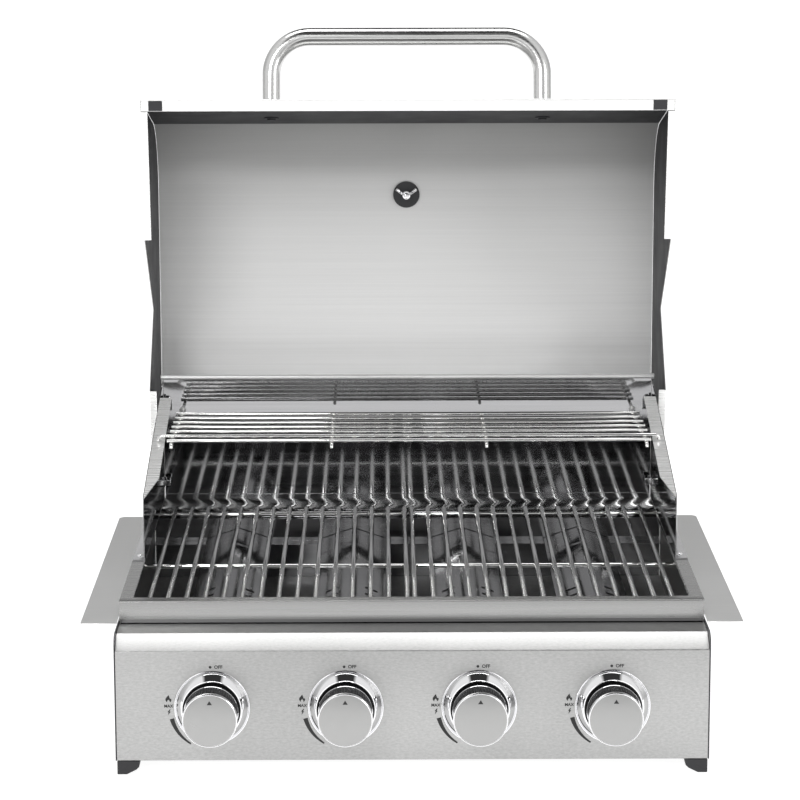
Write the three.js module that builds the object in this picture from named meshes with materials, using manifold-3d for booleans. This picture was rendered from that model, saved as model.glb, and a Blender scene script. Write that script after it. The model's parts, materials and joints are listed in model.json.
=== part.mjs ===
// A drop-in gas barbecue grill with four burners, drawn with its lid open.
// Millimetres, +X to the right, +Y to the back, +Z up. Heights are measured from the ground under
// the feet and depths from the face of the control panel; the finished group is centred at the end.
import * as THREE from "three";
import * as BufferGeometryUtils from "three/addons/utils/BufferGeometryUtils.js";
import Module from "manifold-3d";

const wasm = await Module();
wasm.setup();

// ---------------------------------------------------------------- driving dimensions
const SHEET = 1.2; // thickness of the stainless sheet
const GAP = 0.3; // clearance between two pieces that touch

const BOX_HALF = 310; // half the outside width of the firebox
const BOX_FRONT = 59;
const BOX_REAR = 557;
const FOOT_HEIGHT = 15;
const LEDGE_TOP = 172.4; // the level that the closed lid rests on
const GRATE_SEAT = 150; // the ledges under the ends of the cooking grates

const PANEL_BEND = { y: 0, z: 133.7 };
const PANEL_TOP = { y: 22.7, z: 147.3 };
const PANEL_BACK = { y: 56, z: 148.1 };

const BURNER_X = [-206, -66, 66, 206];
const BURNER_Z = 92;
const KNOB_X = [-209.5, -69.8, 69.8, 209.5];
const KNOB_Z = 73;
const KNOB_RADIUS = 28.7;
const KNOB_FACE = -49;
const KNOB_BASE = -8;
const BEZEL_RADIUS = 40;

const WING_HALF = 348.3; // half the width over the mounting wings
const WING_TOP = 157;
const WING_FRONT = 27;
const WING_REAR = 515;

const FIXED_HALF = 296; // inner face of the fixed side panels
const FIXED_FRONT = 233;
const SLOPE_LOW = { y: FIXED_FRONT, z: 244 };
const SLOPE_HIGH = { y: 506, z: 305 };
const SPLASH_TOP = 320.5;

const ROD = 5.5; // diameter of the grate bars
const GRATE_PITCH = 19.9;
const GRATE_BARS = 16;

const PIVOT = { y: 546, z: 193 }; // the lid's hinge axis
const LID_OPEN = THREE.MathUtils.degToRad(79.3);
const LID_INNER = 307.5; // half the width of the lid's skin
const EAR = 17; // radius of the lid's rounded ear about the hinge
const LIP_FRONT = 60;
const LIP_HEIGHT = 174.4;
const LID_OUTER = LID_INNER + GAP + SHEET;
const STOP = { y: 522, z: 279.5 };
const RACK_Z = 284; // centre height of the warming rack's bars

// ---------------------------------------------------------------- materials
const steel = (color, roughness) => new THREE.MeshStandardMaterial({ color, roughness, metalness: 1 });
const finish = {
  brushed: steel(0xc4c4c2, 0.34),
  mirror: steel(0xd8d8d8, 0.12),
  chrome: steel(0xe8e8e8, 0.06),
  rod: steel(0xbdbdbb, 0.2),
  aluminised: steel(0x8f9092, 0.5),
  brass: steel(0xb4965a, 0.35),
  black: new THREE.MeshStandardMaterial({ color: 0x151516, roughness: 0.55, metalness: 0 }),
};

// ---------------------------------------------------------------- shape tools
function solidOf(geometry) {
  const bare = geometry.clone();
  bare.deleteAttribute("normal");
  bare.deleteAttribute("uv");
  const merged = BufferGeometryUtils.mergeVertices(bare, 1e-4);
  const index = merged.index ?? { array: [...Array(merged.attributes.position.count).keys()] };
  return new wasm.Manifold(
    new wasm.Mesh({
      numProp: 3,
      vertProperties: Float32Array.from(merged.attributes.position.array),
      triVerts: Uint32Array.from(index.array),
    }),
  );
}

function geometryOf(solid) {
  const { vertProperties, triVerts } = solid.getMesh();
  const geometry = new THREE.BufferGeometry();
  geometry.setAttribute("position", new THREE.BufferAttribute(vertProperties, 3));
  geometry.setIndex(new THREE.BufferAttribute(triVerts, 1));
  geometry.computeVertexNormals();
  return geometry;
}

const join = (...parts) => geometryOf(parts.map(solidOf).reduce((a, b) => a.add(b)));
const cut = (body, ...tools) => geometryOf(tools.map(solidOf).reduce((a, b) => a.subtract(b), solidOf(body)));

// A box from its low and high corners.
function block([x0, y0, z0], [x1, y1, z1]) {
  const box = new THREE.BoxGeometry(x1 - x0, y1 - y0, z1 - z0);
  return box.translate((x0 + x1) / 2, (y0 + y1) / 2, (z0 + z1) / 2);
}

const outline = (points) => new THREE.Shape(points.map(([a, b]) => new THREE.Vector2(a, b)));
const turned = (geometry, x, y, z) => geometry.applyMatrix4(new THREE.Matrix4().makeBasis(x, y, z));
const X = new THREE.Vector3(1, 0, 0);
const Y = new THREE.Vector3(0, 1, 0);
const Z = new THREE.Vector3(0, 0, 1);

// An outline of (y, z) points, drawn out along X.
function acrossX(points, x0, x1) {
  const body = new THREE.ExtrudeGeometry(outline(points), { depth: x1 - x0, bevelEnabled: false });
  return turned(body, Y, Z, X).translate(x0, 0, 0);
}

// An outline of (x, z) points, drawn out along Y.
function alongY(points, y0, y1) {
  const body = new THREE.ExtrudeGeometry(outline(points), { depth: y1 - y0, bevelEnabled: false });
  return turned(body, X, Z, Y.clone().negate()).translate(0, y1, 0);
}

// An outline of (x, y) points, drawn out upwards.
function upZ(points, z0, z1) {
  const body = new THREE.ExtrudeGeometry(outline(points), { depth: z1 - z0, bevelEnabled: false });
  return body.translate(0, 0, z0);
}

// A bent sheet's section: the given side, and the same line moved to its left by the thickness.
function bend(points, thickness = SHEET) {
  const line = points.map(([a, b]) => new THREE.Vector2(a, b));
  const normals = line.slice(1).map((p, i) => {
    const along = p.clone().sub(line[i]).normalize();
    return new THREE.Vector2(-along.y, along.x);
  });
  const inner = line.map((p, i) => {
    const before = normals[Math.max(i - 1, 0)];
    const after = normals[Math.min(i, normals.length - 1)];
    const mean = before.clone().add(after).normalize();
    return p.clone().addScaledVector(mean, thickness / mean.dot(after));
  });
  return [...line, ...inner.reverse()].map((p) => [p.x, p.y]);
}

// A round bar between two points.
function bar(from, to, diameter, sides = 8) {
  const a = new THREE.Vector3(...from);
  const b = new THREE.Vector3(...to);
  const body = new THREE.CylinderGeometry(diameter / 2, diameter / 2, a.distanceTo(b), sides);
  body.applyQuaternion(new THREE.Quaternion().setFromUnitVectors(Y, b.clone().sub(a).normalize()));
  return body.translate(...a.add(b).multiplyScalar(0.5).toArray());
}

// A turned body about an axis along +Y, from (radius, y) points.
function turnedOnY(points, x, z, sides = 32) {
  const body = new THREE.LatheGeometry(points.map(([r, y]) => new THREE.Vector2(r, y)), sides);
  return body.translate(x, 0, z);
}

// A tube or solid bar of round section along a curve.
function sweep(curve, diameter, steps, sides = 12) {
  const section = new THREE.Shape();
  section.absarc(0, 0, diameter / 2, 0, 2 * Math.PI);
  const ring = new THREE.Shape(section.getPoints(sides / 2).slice(0, -1));
  return new THREE.ExtrudeGeometry(ring, { extrudePath: curve, steps, bevelEnabled: false });
}

// Points of an arc that leaves `from` in direction `angle` and turns through `turn` with radius r.
function arcPoints([a, b], angle, turn, radius, steps) {
  const side = Math.sign(turn);
  const centre = [a - side * radius * Math.sin(angle), b + side * radius * Math.cos(angle)];
  return Array.from({ length: steps }, (_, i) => {
    const now = angle + (turn * (i + 1)) / steps;
    return [centre[0] + side * radius * Math.sin(now), centre[1] - side * radius * Math.cos(now)];
  });
}

const assembly = new THREE.Group();
const lid = new THREE.Group();
assembly.add(lid);

function add(name, geometry, material, parent = assembly) {
  const mesh = new THREE.Mesh(geometry, material);
  mesh.name = name;
  parent.add(mesh);
  return mesh;
}

const SIDES = [
  ["left", -1],
  ["right", 1],
];
// The same outline on either side: x is counted outwards from the middle.
const mirrored = (points, side) => {
  const moved = points.map(([x, b]) => [side * x, b]);
  return side < 0 ? moved.reverse() : moved;
};
const span = (side, inner, outer) => (side < 0 ? [-outer, -inner] : [inner, outer]);

// ---------------------------------------------------------------- control panel
function controlPanel() {
  const returnDepth = 30;
  const section = bend([
    [PANEL_BACK.y, PANEL_BACK.z],
    [PANEL_TOP.y, PANEL_TOP.z],
    [PANEL_BEND.y, PANEL_BEND.z],
    [0, FOOT_HEIGHT],
    [returnDepth, FOOT_HEIGHT],
  ]);
  const holes = KNOB_X.map((x) => bar([x, -5, KNOB_Z], [x, 5, KNOB_Z], 14, 16));
  return cut(acrossX(section, -BOX_HALF, BOX_HALF), ...holes);
}

function endPlate(side) {
  const top = 151;
  const radius = 14;
  const back = 90;
  const corner = arcPoints([0, top - radius], Math.PI / 2, -Math.PI / 2, radius, 5);
  const plate = [[0, FOOT_HEIGHT], [0, top - radius], ...corner, [back, top], [back, FOOT_HEIGHT]].reverse();
  return acrossX(plate, ...span(side, BOX_HALF + GAP, BOX_HALF + GAP + SHEET));
}

add("control_panel", controlPanel(), finish.brushed);
for (const [word, side] of SIDES) add(`end_plate_${word}`, endPlate(side), finish.black);

// ---------------------------------------------------------------- firebox
const RAIL_FRONT = 57.5;
const WALL_TOP = LEDGE_TOP - SHEET - GAP;
const SHELF_Z = 117; // the shelves under the ends of the flame tamers
const TRAY = { half: 245, front: 110, rear: 566, floor: 36, top: 58 };
const BURNER_NECK = 11;

const rail = bend([[74, LEDGE_TOP], [RAIL_FRONT, LEDGE_TOP], [RAIL_FRONT, 152.5]]);
add("front_rail", acrossX(rail, -BOX_HALF, BOX_HALF), finish.mirror);

function frontWall() {
  const half = BOX_HALF - SHEET - GAP;
  const wall = block([-half, BOX_FRONT, FOOT_HEIGHT + GAP], [half, BOX_FRONT + SHEET, WALL_TOP]);
  const seat = block([-half, BOX_FRONT + 0.5, GRATE_SEAT - SHEET], [half, 82, GRATE_SEAT]);
  const shelf = block([-half, BOX_FRONT + 0.5, SHELF_Z - SHEET], [half, 80, SHELF_Z]);
  const holes = BURNER_X.map((x) => bar([x, 50, BURNER_Z], [x, 70, BURNER_Z], 2 * BURNER_NECK + 3, 16));
  return cut(join(wall, seat, shelf), ...holes);
}

function boxRear() {
  const front = BOX_REAR - 2.5;
  const back = front + SHEET;
  const half = BOX_HALF - SHEET - GAP;
  const wide = block([-half, front, FOOT_HEIGHT + GAP], [half, back, WALL_TOP]);
  const narrow = block([GAP - FIXED_HALF, front, 160], [FIXED_HALF - GAP, back, 176]);
  const seat = block([-half, 533, GRATE_SEAT - SHEET], [half, front + 0.5, GRATE_SEAT]);
  const shelf = block([-half, 536, SHELF_Z - SHEET], [half, front + 0.5, SHELF_Z]);
  const slot = block([-TRAY.half - 2, 500, TRAY.floor - 1], [TRAY.half + 2, 600, TRAY.top + 2]);
  return cut(join(wide, narrow, seat, shelf), slot);
}

function splashBack() {
  const half = FIXED_HALF - GAP;
  const front = BOX_REAR - 1;
  const plate = block([-half, front, 140], [half, front + SHEET, SPLASH_TOP]);
  const hem = bar([-299, front + 0.6, SPLASH_TOP], [299, front + 0.6, SPLASH_TOP], 6, 12);
  const holes = [-273, 273].map((x) => bar([x, 540, RACK_Z - 4], [x, 580, RACK_Z - 4], 8, 12));
  return cut(join(plate, hem), ...holes);
}

function floorPan() {
  const half = BOX_HALF - SHEET - GAP;
  const section = bend([[554, 72], [300, 64], [61, 72]]);
  return cut(acrossX(section, -half, half), block([-150, 275, 50], [150, 325, 90]));
}

function sideWall(side) {
  const [x0, x1] = span(side, BOX_HALF - SHEET, BOX_HALF);
  return block([x0, BOX_FRONT, FOOT_HEIGHT + GAP], [x1, BOX_REAR + 3, WALL_TOP]);
}

function sideLedge(side) {
  const [x0, x1] = span(side, FIXED_HALF, BOX_HALF);
  return block([x0, 74 + GAP, LEDGE_TOP - SHEET], [x1, BOX_REAR + 3, LEDGE_TOP]);
}

function greaseTray() {
  const { half, front, rear, floor, top } = TRAY;
  const body = block([-half, front, floor], [half, rear, top]);
  const hollow = block([-half + 1.5, front + 1.5, floor + 1.5], [half - 1.5, rear - 1.5, top + 5]);
  const grip = block([-60, rear - 1, floor], [60, rear + 16, floor + 2]);
  return join(cut(body, hollow), grip);
}

// Two runners under the tray's long edges, tied together by a strap at the front.
function trayCradle() {
  const { half, floor } = TRAY;
  const z = floor - GAP - SHEET;
  const runner = (side) => {
    const [x0, x1] = span(side, half - 12, half + GAP + SHEET);
    const [w0, w1] = span(side, half + GAP, half + GAP + SHEET);
    const shelf = block([x0, 62, z], [x1, 554, z + SHEET]);
    return [shelf, block([w0, 62, z + 0.5], [w1, 554, floor + 12])];
  };
  return join(...runner(-1), ...runner(1), block([-half, 66, z], [half, 86, z + SHEET]));
}

add("firebox_front_wall", frontWall(), finish.mirror);
add("firebox_rear_wall", boxRear(), finish.mirror);
add("splash_back", splashBack(), finish.mirror);
add("firebox_floor", floorPan(), finish.aluminised);
for (const [word, side] of SIDES) {
  add(`firebox_side_${word}`, sideWall(side), finish.brushed);
  add(`side_ledge_${word}`, sideLedge(side), finish.brushed);
}
add("grease_tray", greaseTray(), finish.aluminised);
add("tray_cradle", trayCradle(), finish.aluminised);

function foot(side, y0, y1) {
  const section = [
    [BOX_HALF, FOOT_HEIGHT - GAP],
    [286, FOOT_HEIGHT - GAP],
    [287, 8],
    [290, 5],
    [300, 0],
    [BOX_HALF, 0],
  ];
  return alongY(mirrored(section, side), y0, y1);
}
for (const [word, side] of SIDES) {
  add(`foot_front_${word}`, foot(side, 0.5, 45), finish.black);
  add(`foot_rear_${word}`, foot(side, BOX_REAR - 45, BOX_REAR), finish.black);
}

// ---------------------------------------------------------------- mounting wings
function wing(side) {
  const inner = BOX_HALF + GAP;
  const corner = 5;
  const plan = [
    [inner, WING_FRONT],
    [WING_HALF, WING_FRONT],
    [WING_HALF, WING_REAR - corner],
    [WING_HALF - corner, WING_REAR],
    [inner, WING_REAR],
  ];
  const [x0, x1] = span(side, inner, inner + SHEET);
  const skirt = block([x0, 92, 138], [x1, WING_REAR, WING_TOP - 0.5]);
  return join(upZ(mirrored(plan, side), WING_TOP - SHEET, WING_TOP), skirt);
}
for (const [word, side] of SIDES) add(`mounting_wing_${word}`, wing(side), finish.brushed);

// ---------------------------------------------------------------- fixed side panels
const FLANGE = 13.5; // width of the inward flange on the sloping edge
const FLANGE_TAPER = 57; // length of the flange's long diagonal front end
const FOOT_FLANGE = LEDGE_TOP + GAP;
const REAR_TOP = 316;

function fixedSide(side) {
  const rear = BOX_REAR + 3;
  const [x0, x1] = span(side, FIXED_HALF, FIXED_HALF + SHEET);
  const face = [
    [FIXED_FRONT, FOOT_FLANGE],
    [rear, FOOT_FLANGE],
    [rear, REAR_TOP],
    [SLOPE_HIGH.y, SLOPE_HIGH.z],
    [SLOPE_LOW.y, SLOPE_LOW.z],
  ];
  const plate = acrossX(face, x0, x1);
  const slope = bend([[SLOPE_LOW.y, SLOPE_LOW.z - SHEET], [SLOPE_HIGH.y, SLOPE_HIGH.z - SHEET]]);
  const flange = acrossX(slope, ...span(side, FIXED_HALF - FLANGE, FIXED_HALF + 0.5));
  const taper = [
    [FIXED_HALF, FIXED_FRONT - 5],
    [FIXED_HALF - FLANGE - 5, FIXED_FRONT - 5],
    [FIXED_HALF - FLANGE - 5, FIXED_FRONT + FLANGE_TAPER + 16],
    [FIXED_HALF, FIXED_FRONT],
  ].reverse();
  const [f0, f1] = span(side, FIXED_HALF + 0.5, BOX_HALF);
  const footing = block([f0, FIXED_FRONT + 1, FOOT_FLANGE], [f1, 530, FOOT_FLANGE + SHEET]);
  const holes = [PIVOT, STOP].map(({ y, z }) => bar([side * 280, y, z], [side * 300, y, z], 8.8, 12));
  return cut(join(plate, flange, footing), upZ(mirrored(taper, side), 200, 330), ...holes);
}
for (const [word, side] of SIDES) add(`fixed_side_${word}`, fixedSide(side), finish.mirror);

// A hex-headed bolt along X at (y, z): its head is inside, and a spacer fills the way to the lid.
function sideBolt(side, { y, z }, sleeve, reach, spacerRadius) {
  const at = (x) => [side * x, y, z];
  const head = bar(at(288), at(FIXED_HALF - GAP), 13, 6);
  const shank = bar(at(290), at(reach), 8, 12);
  const spacer = bar(at(FIXED_HALF + SHEET + GAP), at(sleeve), 2 * spacerRadius, 16);
  return join(head, shank, spacer);
}
for (const [word, side] of SIDES) {
  const pivot = sideBolt(side, PIVOT, LID_INNER, LID_OUTER + 6, 8);
  const nutFrom = [side * (LID_OUTER + GAP), PIVOT.y, PIVOT.z];
  const nutTo = [side * (LID_OUTER + 6), PIVOT.y, PIVOT.z];
  add(`hinge_bolt_${word}`, join(pivot, bar(nutFrom, nutTo, 13, 6)), finish.chrome);
  add(`lid_stop_${word}`, sideBolt(side, STOP, 306.5, 306, 7.5), finish.chrome);
}

// ---------------------------------------------------------------- grates, rack and flame tamers
function grate(side) {
  const longZ = GRATE_SEAT + 7.5;
  const crossZ = GRATE_SEAT + GAP + ROD / 2;
  const first = 4.2;
  const last = first + (GRATE_BARS - 1) * GRATE_PITCH;
  const longBars = Array.from({ length: GRATE_BARS }, (_, i) => {
    const x = side * (first + i * GRATE_PITCH);
    return bar([x, 64, longZ], [x, 552, longZ], ROD, 6);
  });
  const crossBar = (y) => bar([side * (first - 2), y, crossZ], [side * (last + 2), y, crossZ], ROD, 6);
  const crossBars = [71, 285, 543].map(crossBar);
  return join(...longBars, ...crossBars);
}
for (const [word, side] of SIDES) add(`cooking_grate_${word}`, grate(side), finish.rod);

const RACK = { front: 354, pitch: 26, bars: 7, half: 278, hookHalf: 291, cross: [-273, -89, 89, 273] };

function warmingRack() {
  const thick = 4.5;
  const bars = Array.from({ length: RACK.bars }, (_, i) => {
    const y = RACK.front + i * RACK.pitch;
    const half = i === 1 ? RACK.hookHalf : RACK.half;
    return bar([-half, y, RACK_Z], [half, y, RACK_Z], thick, 6);
  });
  const crossZ = RACK_Z - 4;
  const wires = RACK.cross.map((x) => {
    const rear = Math.abs(x) > 200 ? BOX_REAR + 5 : RACK.front + 6 * RACK.pitch + 5;
    return bar([x, RACK.front - 5, crossZ], [x, rear, crossZ], thick, 6);
  });
  const tipY = RACK.front - 4;
  const tips = RACK.cross.map((x) => bar([x, tipY, crossZ + 1], [x, tipY, crossZ - 6], thick, 6));
  const hookY = RACK.front + RACK.pitch;
  const hooks = [-1, 1].map((s) => {
    const x = s * (RACK.hookHalf - 1);
    return bar([x, hookY, RACK_Z + 1], [x, hookY, RACK_Z - 6.1], thick, 6);
  });
  return join(...bars, ...wires, ...tips, ...hooks);
}
add("warming_rack", warmingRack(), finish.rod);

// A flame tamer is an inverted V in two lengths, the rear one lapped over the end of the front one.
function flameTamer(x) {
  const half = 40;
  const edge = SHELF_Z + GAP + 1;
  const ridge = edge + 14;
  const tent = (lift) =>
    bend([[x + half, edge + lift], [x, ridge + lift], [x - half, edge + lift]], 1).reverse();
  const front = alongY(tent(0), 64, 490);
  const rear = alongY(tent(0.8), 480, 552);
  return join(front, rear);
}

// A burner is a closed-ended tube whose narrow neck is open, so that gas and air can enter.
function burner(x) {
  const neck = BURNER_NECK;
  const tube = 16;
  const profile = [
    [0, 528.8],
    [11.5, 528.8],
    [tube - SHEET, 525.5],
    [tube - SHEET, 116.6],
    [neck - SHEET, 98.6],
    [neck - SHEET, 50],
    [neck, 50],
    [neck, 98],
    [tube, 116],
    [tube, 526],
    [12, 530],
    [0, 530],
  ];
  return turnedOnY(profile, x, BURNER_Z, 20);
}

BURNER_X.forEach((x, i) => {
  add(`flame_tamer_${i + 1}`, flameTamer(x), finish.mirror);
  add(`burner_${i + 1}`, burner(x), finish.aluminised);
});

// ---------------------------------------------------------------- gas train and knobs
const MANIFOLD = { y: 36, z: 48, half: 285, diameter: 16 };

function gasManifold() {
  const { y, z, half, diameter } = MANIFOLD;
  const pipe = bar([-half, y, z], [half, y, z], diameter, 12);
  const elbow = bar([half - 10, y, z + 2], [half - 10, y, 24], diameter + 4, 6);
  return join(pipe, elbow);
}
add("gas_manifold", gasManifold(), finish.aluminised);

function knob(x) {
  const { cap, rim } = { cap: 5, rim: 0.9 };
  const grip = KNOB_RADIUS - rim;
  const profile = [
    [0, -26],
    [4.4, -26],
    [4.4, KNOB_BASE],
    [grip, KNOB_BASE],
    [grip, -17],
    [KNOB_RADIUS, -18],
    [KNOB_RADIUS, -20],
    [grip, -21],
    [grip, KNOB_FACE + cap + 1],
    [KNOB_RADIUS, KNOB_FACE + cap],
    [KNOB_RADIUS, KNOB_FACE + 1.5],
    [KNOB_RADIUS - 1.5, KNOB_FACE],
    [0, KNOB_FACE],
  ];
  return turnedOnY(profile.reverse(), x, KNOB_Z, 32);
}

function bezel(x) {
  const inner = 30;
  const profile = [
    [inner, -GAP],
    [inner, -10],
    [31.5, -10.6],
    [BEZEL_RADIUS, -1.6],
    [BEZEL_RADIUS, -GAP],
    [inner, -GAP],
  ];
  return turnedOnY(profile, x, KNOB_Z, 32);
}

KNOB_X.forEach((x, i) => {
  const near = BURNER_X[i];
  add(`gas_valve_${i + 1}`, gasValve(x, near), finish.brass);
  add(`valve_stem_${i + 1}`, bar([x, -25.7, KNOB_Z], [x, 26, KNOB_Z], 8, 12), finish.chrome);
  add(`knob_${i + 1}`, knob(x), finish.brushed);
  add(`bezel_${i + 1}`, bezel(x), finish.chrome);
});

// The stem and the jet are a little apart sideways, so the jet is placed on the burner's axis.
function gasValve(x, burnerX) {
  const offset = burnerX - x;
  const body = block([x - 13, 20, 60], [x + 13, 47, 104]);
  const boss = bar([x, MANIFOLD.y, 61], [x, MANIFOLD.y, MANIFOLD.z + MANIFOLD.diameter / 2 + GAP], 12, 8);
  const spud = bar([x + offset, 46, BURNER_Z], [x + offset, 62, BURNER_Z], 8, 8);
  const bore = bar([x, 15, KNOB_Z], [x, 32, KNOB_Z], 9.2, 12);
  return cut(join(body, boss, spud), bore);
}

// ---------------------------------------------------------------- lid, drawn closed about its hinge
const FACE_TOP = [139, 348]; // where the sloping front face ends and the round starts
const ROOF_SLOPE = -THREE.MathUtils.degToRad(10.7);
const FACE_ANGLE = Math.atan2(FACE_TOP[1] - LIP_HEIGHT, FACE_TOP[0] - LIP_FRONT);
const BROW = arcPoints(FACE_TOP, FACE_ANGLE, ROOF_SLOPE - FACE_ANGLE, 90, 8);
const ROOF_START = BROW[BROW.length - 1];

function roofHeight(y) {
  return ROOF_START[1] + (y - ROOF_START[0]) * Math.tan(ROOF_SLOPE);
}

function skinLine() {
  const corner = [560, roofHeight(560)];
  const rearAngle = -THREE.MathUtils.degToRad(87);
  const round = arcPoints(corner, ROOF_SLOPE, rearAngle - ROOF_SLOPE, 32, 5);
  const last = round[round.length - 1];
  return [[LIP_FRONT, LIP_HEIGHT], FACE_TOP, ...BROW, corner, ...round, [last[0] + 1, 275]];
}

function lidSkin() {
  const lipWidth = 13.4;
  const section = bend([[LIP_FRONT + lipWidth, LIP_HEIGHT], ...skinLine()]).reverse();
  const body = acrossX(section, -LID_INNER, LID_INNER);
  const gauge = bar(GAUGE.at(-10), GAUGE.at(10), 12, 16);
  return cut(body, gauge);
}

function lidEnd(side) {
  const rim = skinLine();
  const ear = arcPoints([PIVOT.y, PIVOT.z - EAR], 0, Math.PI / 2, EAR, 4);
  const edge = [
    [LIP_FRONT, LIP_HEIGHT],
    [230, LIP_HEIGHT],
    [352, 269],
    [421, PIVOT.z - EAR],
    [PIVOT.y, PIVOT.z - EAR],
    ...ear,
    ...rim.slice(1).reverse(),
  ];
  const plate = acrossX(edge, ...span(side, LID_INNER + GAP, LID_OUTER));
  const [x0, x1] = span(side, LID_INNER - 7, LID_INNER + GAP + 0.5);
  const frontFlange = block([x0, LIP_FRONT + 14.2, LIP_HEIGHT], [x1, 230, LIP_HEIGHT + SHEET]);
  const rearFlange = block([x0, 421, PIVOT.z - EAR], [x1, 525, PIVOT.z - EAR + SHEET]);
  const hole = bar([side * 300, PIVOT.y, PIVOT.z], [side * 320, PIVOT.y, PIVOT.z], 8.6, 16);
  return cut(join(plate, frontFlange, rearFlange), hole);
}

// A line square to the lid's front face, at a distance up the face from the lip.
const faceUp = [Math.cos(FACE_ANGLE), Math.sin(FACE_ANGLE)];
const faceOut = [-faceUp[1], faceUp[0]];
const HANDLE = { half: 162.5, up: 145, reach: 97.5, corner: 46, diameter: 22.5 };

function handlePoint(x, out) {
  const along = [LIP_FRONT + faceUp[0] * HANDLE.up, LIP_HEIGHT + faceUp[1] * HANDLE.up];
  return new THREE.Vector3(x, along[0] + faceOut[0] * out, along[1] + faceOut[1] * out);
}

class HandleCurve extends THREE.Curve {
  getPoint(t) {
    const { half, reach, corner: r } = HANDLE;
    const foot = SHEET + GAP;
    const leg = reach - r - foot;
    const arc = (Math.PI / 2) * r;
    const straight = 2 * (half - r);
    const length = 2 * leg + 2 * arc + straight;
    const mid = length / 2;
    const s = t * length;
    const side = s < mid ? -1 : 1;
    const d = s < mid ? s : length - s;
    if (d <= leg) return handlePoint(side * half, foot + d);
    if (d <= leg + arc) {
      const turn = (d - leg) / r;
      return handlePoint(side * (half - r + r * Math.cos(turn)), reach - r + r * Math.sin(turn));
    }
    return handlePoint(side * (half - r - (d - leg - arc)), reach);
  }
}

// The thermometer sits square to the roof, just behind the round.
const roofOut = [-Math.sin(ROOF_SLOPE), Math.cos(ROOF_SLOPE)];
const GAUGE = {
  foot: [246, roofHeight(246)],
  at(out) {
    const [y, z] = this.foot;
    return [0, y + roofOut[0] * out, z + roofOut[1] * out];
  },
};

function thermometer() {
  const stem = bar(GAUGE.at(-22), GAUGE.at(4), 6, 12);
  const dial = bar(GAUGE.at(SHEET + 2), GAUGE.at(14), 56, 28);
  return join(stem, dial);
}

function wingNut() {
  const hub = bar(GAUGE.at(-3 - GAP), GAUGE.at(-12), 12, 12);
  const washer = bar(GAUGE.at(-1.2), GAUGE.at(-3.5), 33, 24);
  const [, y, z] = GAUGE.at(-10);
  const ear = (s) => bar([s * 4, y, z], [s * 13, y - 3 * roofOut[0], z - 3 * roofOut[1]], 5, 8);
  return cut(join(hub, washer, ear(-1), ear(1)), bar(GAUGE.at(-30), GAUGE.at(5), 6.6, 12));
}

add("lid_skin", lidSkin(), finish.brushed, lid);
for (const [word, side] of SIDES) add(`lid_end_${word}`, lidEnd(side), finish.mirror, lid);
add("lid_handle", sweep(new HandleCurve(), HANDLE.diameter, 36), finish.brushed, lid);
add("lid_thermometer", thermometer(), finish.chrome, lid);
add("thermometer_wing_nut", wingNut(), finish.chrome, lid);

// ---------------------------------------------------------------- open the lid and centre the grill
for (const mesh of lid.children) mesh.geometry.translate(0, -PIVOT.y, -PIVOT.z);
lid.position.set(0, PIVOT.y, PIVOT.z);
lid.rotation.x = -LID_OPEN;

const grill = new THREE.Group();
grill.add(assembly);
assembly.updateMatrixWorld(true);
const box = new THREE.Box3().setFromObject(assembly, true);
assembly.position.y = -(box.min.y + box.max.y) / 2;

export default grill;
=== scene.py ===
"""Looks for a drop-in gas barbecue grill: sheet metal, round bars, knobs, gauge and studio.

Laid out as an add-on and run as a script. Lengths in the code are millimetres measured from the
control panel's face and the ground, and at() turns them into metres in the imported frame.
"""

import json
from math import atan2, cos, pi, radians, sin, tan

import bmesh
import bpy
from mathutils import Matrix, Vector


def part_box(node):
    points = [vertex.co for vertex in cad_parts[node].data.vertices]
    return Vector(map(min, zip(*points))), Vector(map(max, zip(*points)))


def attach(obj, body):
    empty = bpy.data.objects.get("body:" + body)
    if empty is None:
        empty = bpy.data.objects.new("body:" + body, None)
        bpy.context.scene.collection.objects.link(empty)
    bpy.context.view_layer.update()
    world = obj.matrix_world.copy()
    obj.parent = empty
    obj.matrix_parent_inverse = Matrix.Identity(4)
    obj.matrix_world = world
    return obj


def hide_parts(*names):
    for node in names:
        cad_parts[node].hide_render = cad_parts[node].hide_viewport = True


bl_info = {
    "name": "Gas Grill Looks",
    "version": (1, 0, 0),
    "blender": (4, 5, 0),
    "location": "View3D > Sidebar > Grill",
    "description": "Builds the visible surfaces of a drop-in gas grill round its packed frame",
    "category": "Object",
}

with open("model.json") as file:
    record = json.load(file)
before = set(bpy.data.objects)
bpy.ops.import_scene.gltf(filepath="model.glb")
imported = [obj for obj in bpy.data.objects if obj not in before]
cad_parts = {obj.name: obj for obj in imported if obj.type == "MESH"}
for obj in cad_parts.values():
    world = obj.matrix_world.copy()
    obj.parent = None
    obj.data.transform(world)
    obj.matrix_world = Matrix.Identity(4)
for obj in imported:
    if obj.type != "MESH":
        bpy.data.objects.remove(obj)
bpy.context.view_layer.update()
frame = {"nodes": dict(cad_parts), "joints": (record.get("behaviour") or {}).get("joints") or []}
NODES = frame["nodes"]
FACE_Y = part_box("control_panel")[0].y
HINGE = next(j for j in frame["joints"] if j["name"] == "lid_hinge")
OPEN_ANGLE = radians(HINGE["range_deg"][1])
MM = 0.001


def at(x, y, z):
    """A point given in millimetres from the panel's face and the ground, in the frame's metres."""
    return Vector((x * MM, FACE_Y + y * MM, z * MM))


def high(node):
    """The highest corner of a CAD node in millimetres from the panel's face and the ground."""
    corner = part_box(node)[1]
    return Vector((corner.x, corner.y - FACE_Y, corner.z)) / MM


def low(node):
    """The lowest corner of a CAD node in millimetres from the panel's face and the ground."""
    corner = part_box(node)[0]
    return Vector((corner.x, corner.y - FACE_Y, corner.z)) / MM


PIVOT_Y = (HINGE["pos_m"][1] - FACE_Y) / MM
PIVOT_Z = HINGE["pos_m"][2] / MM

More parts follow.
